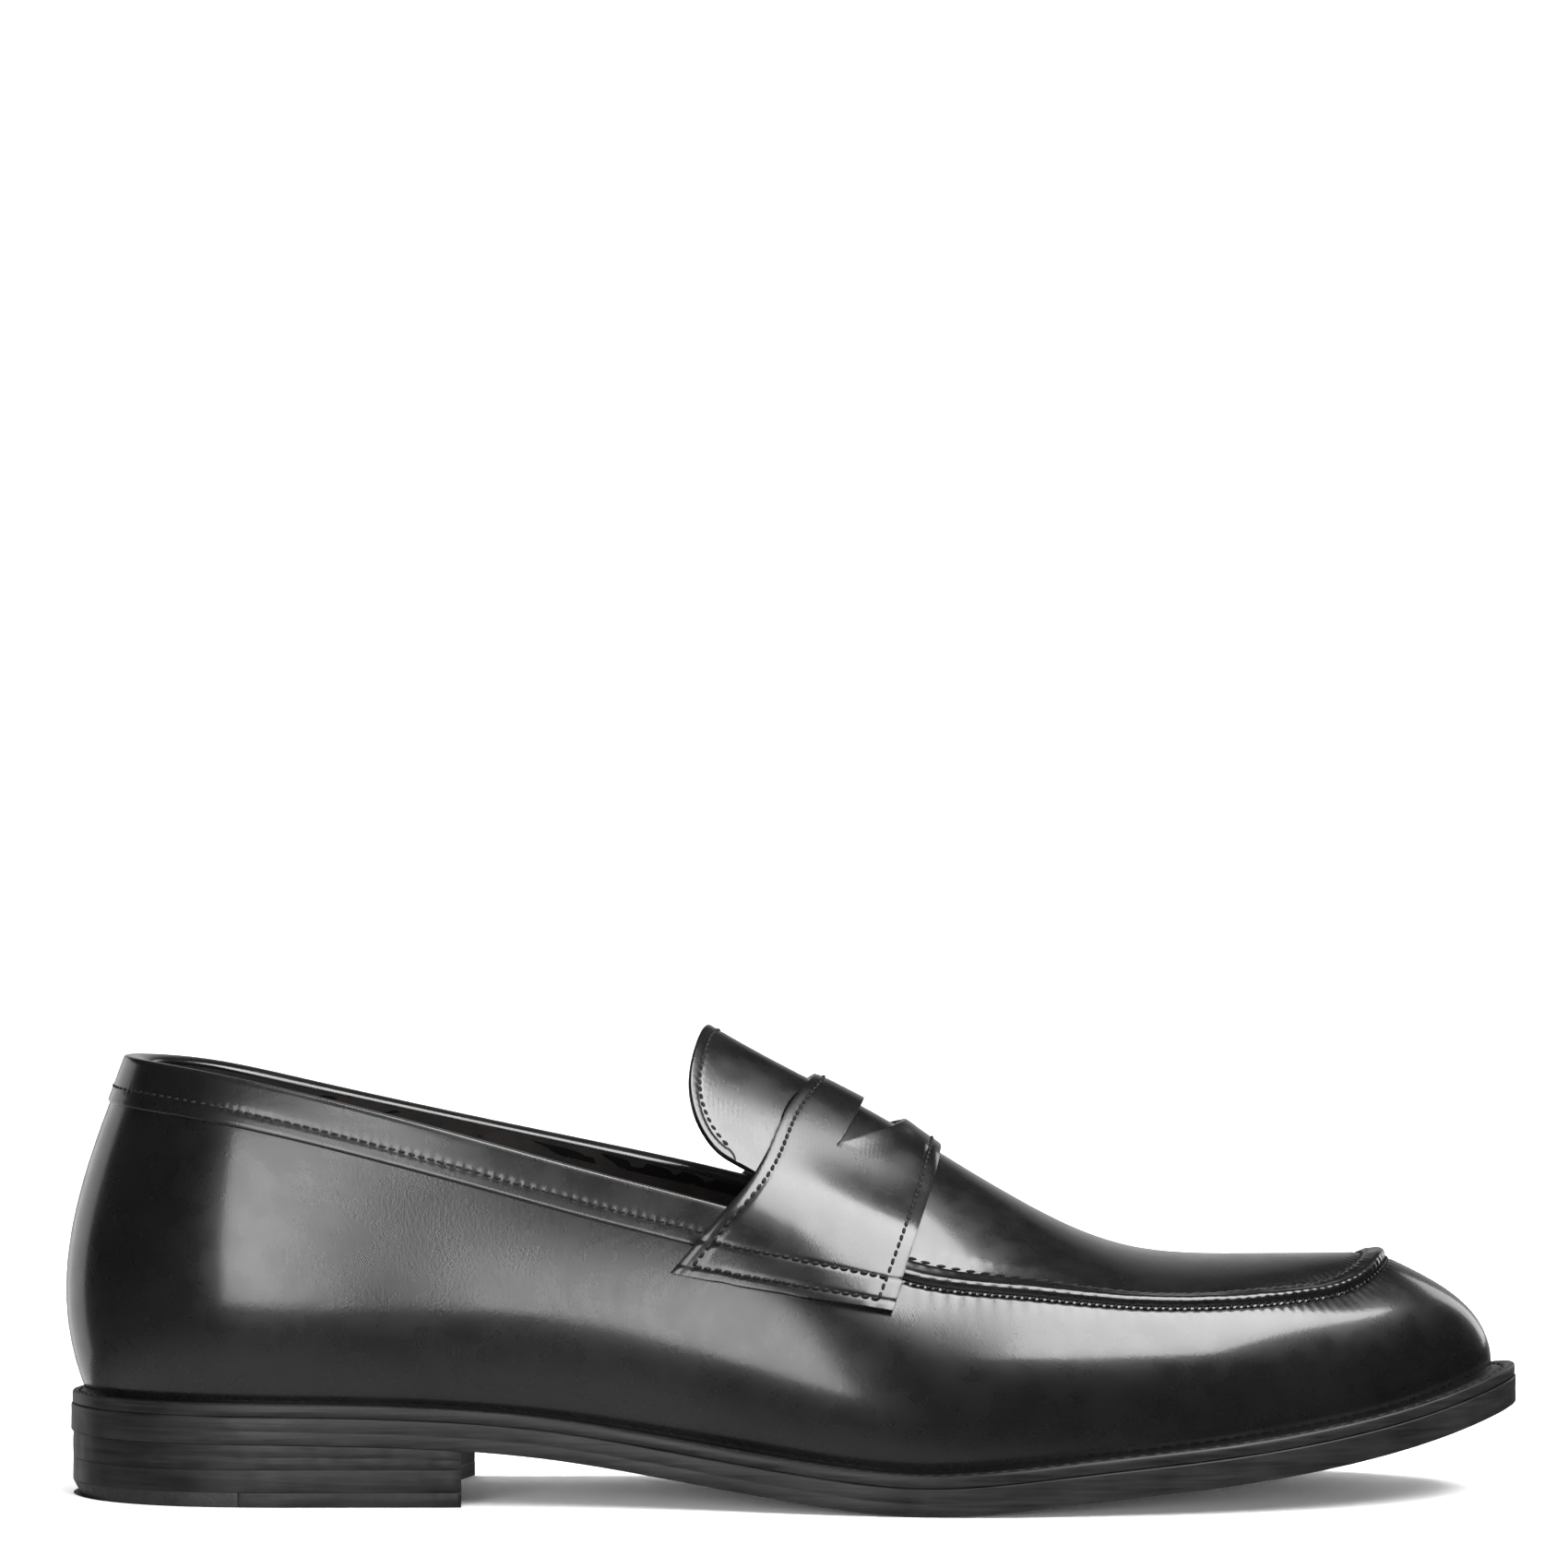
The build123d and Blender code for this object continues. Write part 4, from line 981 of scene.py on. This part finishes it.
def strap_bed(h, w):
    """The bed: rows at h, from the outer end (-1) to the inner end (1); w from rear to front."""
    rows = []
    table = np.array([curve(h * np.where(h < 0, reach[0], reach[1]))
                      for curve, reach in GIRTHS])
    for k in range(len(h)):
        station = (1 - w[k]) * strap_rear(h[k]) + w[k] * strap_front(h[k])
        rows.append(spline(GIRTH_STATIONS, table[:, k])(station))
    return np.array(rows)


def strap_sheet(h, w, offset):
    """Points at an offset over the strap's bed, with a belly where it passes the mouth's edge."""
    d = 0.004
    along = strap_bed(h + d, w) - strap_bed(h - d, w)
    across = strap_bed(h, w + d) - strap_bed(h, w - d)
    normal = unit(np.cross(along, across))
    side = h[:, None] * np.ones_like(w)
    towards = np.where(abs(side) < 0.5, normal[..., 2], normal[..., 1] * side)
    normal = normal * np.where(towards < 0, -1.0, 1.0)[..., None]
    belly = STRAP_BELLY * np.exp(-((abs(h) - BELLY_AT) / BELLY_SPREAD) ** 2)[:, None]
    return strap_bed(h, w) + (np.asarray(offset) + belly)[..., None] * normal


def slot_edges(h):
    """Where the slot's two edges cross each row of the strap, and whether the slot is open there."""
    steps = np.linspace(0.0, 1.0, 81)
    bed = strap_bed(h, np.repeat(steps[None, :], len(h), 0))
    slope = math.atan2(float(crest(SLOT_STATION - 3) - crest(SLOT_STATION + 3)), 6.0)
    run = ((bed[..., 0] - SLOT_STATION) * math.cos(slope)
           - (bed[..., 2] - crest(SLOT_STATION)) * math.sin(slope))
    tip = -SLOT_TIP
    front_line = mirrored([(0.0, SLOT_FRONT), (0.5 * SLOT_HALF, 0.55 * SLOT_FRONT),
                           (SLOT_HALF, tip)])
    rear_w, front_w, opened = [], [], []
    for k in range(len(h)):
        side = float(np.interp(tip, run[k], bed[k, :, 1])) - float(crest_side(SLOT_STATION))
        t = min(abs(side) / SLOT_HALF, 1.0)
        rear = tip - (SLOT_REAR + tip) * (1 - t ** 2.0)
        front = float(front_line(side)) if t < 1 else tip
        slit = 0.22 * (1 - smooth(abs(side), SLOT_HALF + 0.4, SLOT_HALF + 1.2))
        gap = max(front - rear, 2 * slit)
        middle = (front + rear) / 2
        rear_w.append(float(np.interp(middle - gap / 2, run[k], steps)))
        front_w.append(float(np.interp(middle + gap / 2, run[k], steps)))
        opened.append(gap > 0.02)
    return np.array(rear_w), np.array(front_w), np.array(opened)


def strap_grid(margin, rows=361):
    """Rows and columns of the strap, in a part behind the slot and one in front of it."""
    limit = 1.0 - margin / HALF_GIRTH_LEAST
    h = np.linspace(-limit, limit, rows)
    rear_w, front_w, opened = slot_edges(h)
    behind = np.linspace(0.0, 1.0, 24) ** 0.9
    first = margin / FRONT_SPAN
    last = 1.0 - first
    back = first + (rear_w[:, None] - first) * behind[None, :]
    front = front_w[:, None] + (last - front_w[:, None]) * (1 - behind[::-1])[None, :]
    return h, back, front, opened


def strap_layer(name, offset, thickness, material, margin, rounding):
    """One layer of the strap, open at the slot, with rounded edges."""
    h, back, front, opened = strap_grid(margin)
    w = np.hstack([back, front])
    half = back.shape[1]
    lifted = np.exp(-((front - front[:, :1]) / 0.11) ** 2) * 0.4
    side = strap_bed(h, back[:, -1:])[:, :, 1] - crest_side(SLOT_STATION)
    bow = np.clip(1 - (side / SLOT_HALF) ** 2, 0, None)
    lift = np.hstack([np.zeros_like(back), lifted * bow * opened[:, None]])
    wave = 0.06 * ripple(h[:, None] * HALF_GIRTH / 14.0, w * 2.0, 61)
    shaped = offset + wave + lift
    if margin == 0:
        from_rear = w * REAR_SPAN
        from_front = (1 - w) * FRONT_SPAN
        from_end = (1 - abs(h))[:, None] * HALF_GIRTH
        rows = dent(from_rear, EDGE_ROW, 0.5) + dent(from_front, EDGE_ROW, 0.5)
        for _, inset in END_ROWS:
            rows = rows + dent(from_end, inset, 0.5)
        thinned = np.exp(-from_rear / 1.1) + np.exp(-from_front / 1.1)
        shaped = shaped - 0.2 * rows - 0.3 * thinned
    points = strap_sheet(h, w, shaped)
    columns = w.shape[1]
    faces = []
    for i in range(len(h) - 1):
        for j in range(columns - 1):
            if j == half - 1 and (opened[i] or opened[i + 1]):
                continue
            a = i * columns + j
            faces.append((a, a + 1, a + columns + 1, a + columns))
    strap = make_object(name, to_metres(points).reshape(-1, 3), faces, material, 180.0)
    middle = strap.data.polygons[len(strap.data.polygons) // 4]
    solid = strap.modifiers.new("thickness", "SOLIDIFY")
    solid.thickness = thickness * MM
    outer = np.array(middle.normal) @ np.array([0, middle.center[1], middle.center[2] - 0.02])
    solid.offset = -1.0 if outer > 0 else 1.0
    solid.use_even_offset = True
    bevel = strap.modifiers.new("rounding", "BEVEL")
    bevel.width = rounding * MM
    bevel.segments = 3
    bevel.limit_method = "ANGLE"
    bevel.angle_limit = math.radians(50)
    return strap


def strap_stitches(name, h, w, seed):
    """A row of stitches on the strap, along whichever of h and w has many values."""
    high = UNDER_STRAP + STRAP
    path = strap_sheet(h, w, np.full_like(w, high - 0.06)).reshape(-1, 3)
    above = strap_sheet(h, w, np.full_like(w, high + 1.0)).reshape(-1, 3)
    fasten(stitch_row(name, path, above - path, 2.0, 1.6, 0.36, 0.12, seed), "upper_leather")


def make_strap():
    """The strap, its lining, and the rows of stitches round its edge and across its ends."""
    high = UNDER_STRAP + STRAP
    strap = strap_layer("saddle_strap_leather", high, STRAP, CREASED, 0.0, 0.42)
    fasten(strap, "upper_leather", "saddle_strap")
    lining = strap_layer("saddle_strap_lining", UNDER_STRAP - 0.02, STRAP_LINING, CUT_EDGE,
                         0.35, 0.2)
    fasten(lining, "lining_leather", "strap_lining")
    fine = np.linspace(-0.97, 0.97, 500)
    for name, share in (("rear", EDGE_ROW / REAR_SPAN), ("front", 1 - EDGE_ROW / FRONT_SPAN)):
        strap_stitches("strap_stitches_" + name, fine, np.full((len(fine), 1), share), 62)
    across = np.linspace(0.07, 0.93, 60)[None, :]
    for end, sign in (("outer", -1.0), ("inner", 1.0)):
        for row, inset in END_ROWS:
            h = np.array([sign * (1 - inset / HALF_GIRTH)])
            strap_stitches(f"strap_stitches_{end}_{row}", h, across, 63)


# ---- the bottom ---------------------------------------------------------------------------------
def sole_near(station, outer):
    """The place round the sole's edge at a station."""
    u = np.linspace(0.0, TOE_AT, 4000) if outer else np.linspace(TOE_AT, ROUND, 4000)
    return float(u[np.argmin(abs(sole_edge(u)[:, 0] - station))])


def plan_grid(start, end, inset, sag, rows, columns=24):
    """Plan points between two stations of the sole, drawn in by an inset, in rows right across."""
    share = np.linspace(0.0, 1.0, rows)
    ends = []
    for outer, edge in ((True, 0.0), (False, ROUND)):
        first = edge if start <= 0 else sole_near(start, outer)
        last = TOE_AT if end >= LENGTH else sole_near(end, outer)
        u = first + (last - first) * share
        ends.append(sole_edge(u) - inset * outward(u))
    across = np.linspace(0.0, 1.0, columns)[None, :, None]
    grid = ends[0][:, None] * (1 - across) + ends[1][:, None] * across
    grid[..., 0] -= sag * (1 - (2 * across[..., 0] - 1) ** 2) * share[:, None] ** 3
    return grid


def plate(name, grid, top, bottom, rim, material, chamfer, seed):
    """A slab on a plan grid: heights above and below, and a rim of (share down, outset) pairs."""
    rows, columns = grid.shape[:2]
    closed_start = np.ptp(grid[0], axis=0).max() < 1e-6
    closed_end = np.ptp(grid[-1], axis=0).max() < 1e-6
    border = [(i, 0) for i in range(rows)]
    if not closed_end:
        border += [(rows - 1, j) for j in range(1, columns)]
    border += [(i, columns - 1) for i in range(rows - 2, 0, -1)]
    if not closed_start:
        border += [(0, j) for j in range(columns - 1, 0, -1)]
    loop = np.array([grid[i, j] for i, j in border])
    way = unit(np.roll(loop, -1, 0) - np.roll(loop, 1, 0))
    away = np.stack([way[:, 1], -way[:, 0]], -1)
    if np.sum(away * (loop - loop.mean(0))) < 0:
        away = -away
    sheets = []
    for height in (top, bottom):
        sheets.append(np.concatenate([grid, height(grid[..., 0])[..., None]], -1))
    vertices = [s.reshape(-1, 3) for s in sheets]
    count = rows * columns
    faces = grid_faces(rows, columns, False, False)
    faces += [tuple(count + k for k in reversed(f)) for f in faces]
    rings = [[i * columns + j for i, j in border]]
    start = 2 * count
    run = np.arange(len(loop)) * 0.7
    for share, outset in rim:
        near_back = 1 - smooth(loop[:, 0], 2.0, 15.0)
        cut = chamfer * near_back * smooth(np.full(len(loop), share), 0.35, 1.0)
        rough = 0.05 * ripple(run, np.full(len(loop), share * 9.0), 71 + seed) * (0 < share < 1)
        plan = loop + (outset - cut + rough)[:, None] * away
        height = top(plan[:, 0]) * (1 - share) + bottom(plan[:, 0]) * share
        vertices.append(np.column_stack([plan, height]))
        rings.append(list(range(start, start + len(loop))))
        start += len(loop)
    rings.append([count + i * columns + j for i, j in border])
    for first, second in zip(rings[:-1], rings[1:]):
        for k in range(len(loop)):
            n = (k + 1) % len(loop)
            faces.append((first[k], first[n], second[n], second[k]))
    return make_object(name, to_metres(np.vstack(vertices)), faces, material, 50.0)


def edge_rim(thickness, radius, groove=0.0):
    """A rim with rounded corners, and a fine groove at a distance from the top if one is given."""
    depth = 0.03
    width = 0.18
    rim = []
    for a in np.linspace(0.2, math.pi / 2, 4):
        rim.append((radius * (1 - math.cos(a)) / thickness, radius * math.sin(a)))
    if groove:
        rim += [((groove - width) / thickness, radius), (groove / thickness, radius - depth),
                ((groove + width) / thickness, radius)]
    for a in np.linspace(math.pi / 2, 0.2, 4):
        rim.append((1 - radius * (1 - math.cos(a)) / thickness, radius * math.sin(a)))
    return rim


def level(height):
    """The same height at every station."""
    return lambda s: np.full(np.shape(s), height)


def raised(rise):
    """A height that follows the underside of the sole."""
    return lambda s: sole_line(s) + rise


def make_bottom():
    """The outsole and the four pieces of the heel."""
    lift_inset = HEEL_DRAFT + LIFT_RADIUS
    top_inset = HEEL_DRAFT + TOP_PIECE_RADIUS
    top_rim = edge_rim(TOP_PIECE, TOP_PIECE_RADIUS)
    # Name, node, slot, material, stations, inset, hollow of the front end, top, bottom, rim, and
    # how far the lower edge is cut back at the rear.
    pieces = [
        ("outsole_leather", "outsole", "sole_edge", SOLE_EDGE, (0.0, LENGTH), SOLE_RADIUS, 0.0,
         raised(OUTSOLE), raised(0.0), edge_rim(OUTSOLE, SOLE_RADIUS, 2.9), 0.0),
        ("heel_lift_upper", "heel_lift_upper", "sole_edge", HEEL_EDGE, (0.0, BREAST), lift_inset,
         BREAST_SAG, raised(0.0), level(LOWER_LIFT_TOP), edge_rim(5.0, LIFT_RADIUS, 2.5), 0.0),
        ("heel_lift_lower", "heel_lift_lower", "sole_edge", HEEL_EDGE, (0.0, BREAST), lift_inset,
         BREAST_SAG, level(LOWER_LIFT_TOP), level(TOP_PIECE),
         edge_rim(LOWER_LIFT_TOP - TOP_PIECE, LIFT_RADIUS), 0.0),
        ("top_piece_rubber", "top_piece_rubber", "heel_rubber", RUBBER,
         (0.0, RUBBER_END - TOP_PIECE_GAP), top_inset, 0.0, level(TOP_PIECE), level(0.0), top_rim,
         BACK_CHAMFER),
        ("top_piece_leather", "top_piece_leather", "sole_edge", HEEL_EDGE,
         (RUBBER_END + TOP_PIECE_GAP, BREAST), top_inset, BREAST_SAG, level(TOP_PIECE), level(0.0),
         top_rim, 0.0),
    ]
    for seed, piece in enumerate(pieces):
        name, node, slot_name, material, ends, inset, sag, top, bottom, rim, chamfer = piece
        grid = plan_grid(*ends, inset, sag, rows=300 if node == "outsole" else 110)
        body = plate(name + "_edge", grid, top, bottom, rim, material, chamfer, seed)
        fasten(body, slot_name, node)


def make_welt():
    """A strip of leather with rounded edges and a sunk row of stitches beside the upper."""
    u = np.linspace(0.0, ROUND, 901)[:-1]
    edge = sole_edge(u)
    shelf = SHELF_HEEL + (SHELF_TOE - SHELF_HEEL) * smooth(edge[:, 0], 90.0, 200.0)
    profile = [(WELT_WIDTH, 0.0), (10.0, 0.0), (7.0, 0.0)]
    reach = [3.4, 2.6, 2.2, 1.9, 1.6, 1.2, 0.9, 0.5, 0.3, 0.15, 0.0, 0.0, 0.15, 0.3, 0.8]
    fall = [0.0, -0.05, -0.28, -0.34, -0.28, -0.05, 0.0, 0.0, -0.05, -0.2, -0.5, -2.1, -2.45, -2.6,
            -2.6]
    sections = []
    for inset, drop in profile:
        at = edge - inset * outward(u)
        sections.append(np.column_stack([at, sole_line(at[:, 0]) + SEAT + drop]))
    for inset, drop in zip(reach, fall):
        wide = WELT_STEP + inset * shelf / 4.0
        at = edge - wide[:, None] * outward(u)
        uneven = 0.04 * ripple(u / 4.0, u * 0 + inset, 81) if inset < 0.4 else 0.0
        sections.append(np.column_stack([at, sole_line(at[:, 0]) + SEAT + drop + uneven]))
    at = edge - WELT_WIDTH * outward(u)
    sections.append(np.column_stack([at, sole_line(at[:, 0]) + OUTSOLE]))
    welt = tube("welt_strip", np.stack(sections, 1), SOLE_EDGE, closed=True, sharp=50.0)
    fasten(welt, "sole_edge", "welt")
    wide = WELT_STEP + 1.9 * shelf / 4.0
    at = edge - wide[:, None] * outward(u)
    path = np.column_stack([at, sole_line(at[:, 0]) + SEAT - 0.25])
    up = np.tile([0.0, 0.0, 1.0], (len(u), 1))
    fasten(stitch_row("welt_stitches", path, up, 3.1, 2.6, 0.32, 0.05, 82), "sole_edge")


# ---- what stays as in the CAD model -------------------------------------------------------------
KEPT = {
    "steel_shank": STEEL, "cork_filler": CORK, "insole": BOARD, "sock_lining": LINING_LEATHER,
    "heel_pad": FOAM, "heel_nails": BRASS, "quarter_lining": LINING_LEATHER,
    "vamp_lining": LINING_LEATHER, "heel_counter": BOARD, "toe_puff": BOARD,
    "apron_lining": LINING_LEATHER,
}


def dress_kept():
    """Give the pieces that stay as in the CAD model their materials."""
    for obj in bpy.data.objects:
        for node, material in KEPT.items():
            if obj.type == "MESH" and obj.name.split(".")[0] == node:
                obj.data.materials.clear()
                obj.data.materials.append(material)


# ---- studio -------------------------------------------------------------------------------------
def add_light(name, location, target, size, watts, turn, mirrored_by_leather):
    """A soft light panel that looks at a point, turned about its own axis."""
    light = bpy.data.lights.new(name, "AREA")
    light.shape = "RECTANGLE"
    light.size = size[0]
    light.size_y = size[1]
    light.energy = watts
    obj = bpy.data.objects.new(name, light)
    obj.location = location
    obj.visible_camera = False
    obj.visible_glossy = mirrored_by_leather
    look = (Vector(target) - Vector(location)).to_track_quat("-Z", "Y")
    obj.rotation_euler = (look @ Quaternion((0, 0, 1), math.radians(turn))).to_euler()
    bpy.context.scene.collection.objects.link(obj)


def make_stage():
    """A pale floor that curves up into a back wall."""
    bend_start = 1.0
    radius = 0.8
    profile = [(-1.6, 0.0), (bend_start, 0.0)]
    for a in np.linspace(0.0, math.pi / 2, 13)[1:]:
        profile.append((bend_start + radius * math.sin(a), radius * (1 - math.cos(a))))
    profile.append((bend_start + radius, 3.0))
    vertices = [(x, y, z) for x in (-3.0, 3.0) for y, z in profile]
    mesh = bpy.data.meshes.new("floor")
    mesh.from_pydata(vertices, [], grid_faces(2, len(profile), False, False))
    for polygon in mesh.polygons:
        polygon.use_smooth = True
    mesh.materials.append(Nodes("paper", (0.93, 0.93, 0.93), 0.9, specular=0.1).material)
    floor = bpy.data.objects.new("floor", mesh)
    floor.visible_glossy = False
    floor.visible_shadow = False
    bpy.context.scene.collection.objects.link(floor)


def make_world():
    """Dim surroundings: a pale floor below, darkness at eye level and a brighter wall behind."""
    world = bpy.data.worlds.new("studio")
    bpy.context.scene.world = world
    world.use_nodes = True
    tree = world.node_tree
    place = tree.nodes.new("ShaderNodeTexCoord").outputs["Generated"]
    split = tree.nodes.new("ShaderNodeSeparateXYZ")
    tree.links.new(place, split.inputs["Vector"])
    both = tree.nodes.new("ShaderNodeMath")
    both.operation = "ADD"
    for k, (axis, stops) in enumerate((("Z", WORLD_BY_HEIGHT), ("Y", WORLD_BY_DEPTH))):
        half = tree.nodes.new("ShaderNodeMath")
        half.operation = "MULTIPLY_ADD"
        half.inputs[1].default_value = 0.5
        half.inputs[2].default_value = 0.5
        ramp = tree.nodes.new("ShaderNodeValToRGB")
        fill_ramp(ramp, [(position, (value,) * 3) for position, value in stops])
        tree.links.new(split.outputs[axis], half.inputs[0])
        tree.links.new(half.outputs["Value"], ramp.inputs["Fac"])
        tree.links.new(ramp.outputs["Color"], both.inputs[k])
    tree.links.new(both.outputs["Value"], tree.nodes["Background"].inputs["Color"])
    tree.nodes["Background"].inputs["Strength"].default_value = 1.0


def make_camera():
    """The camera stands level at the shoe's outer side."""
    camera = bpy.data.cameras.new("camera")
    camera.lens = LENS
    camera.sensor_width = 36.0
    obj = bpy.data.objects.new("camera", camera)
    obj.location = CAMERA_AT
    obj.rotation_euler = (math.pi / 2, 0, 0)
    bpy.context.scene.collection.objects.link(obj)
    bpy.context.scene.camera = obj


make_skirt()
make_apron()
make_ridge()
seam_stitches()
make_band()
make_tongue()
make_strap()
make_bottom()
make_welt()
dress_kept()
make_stage()
make_world()
make_camera()
for entry in LIGHTS:
    add_light(*entry)
bpy.context.scene.view_settings.view_transform = "Standard"
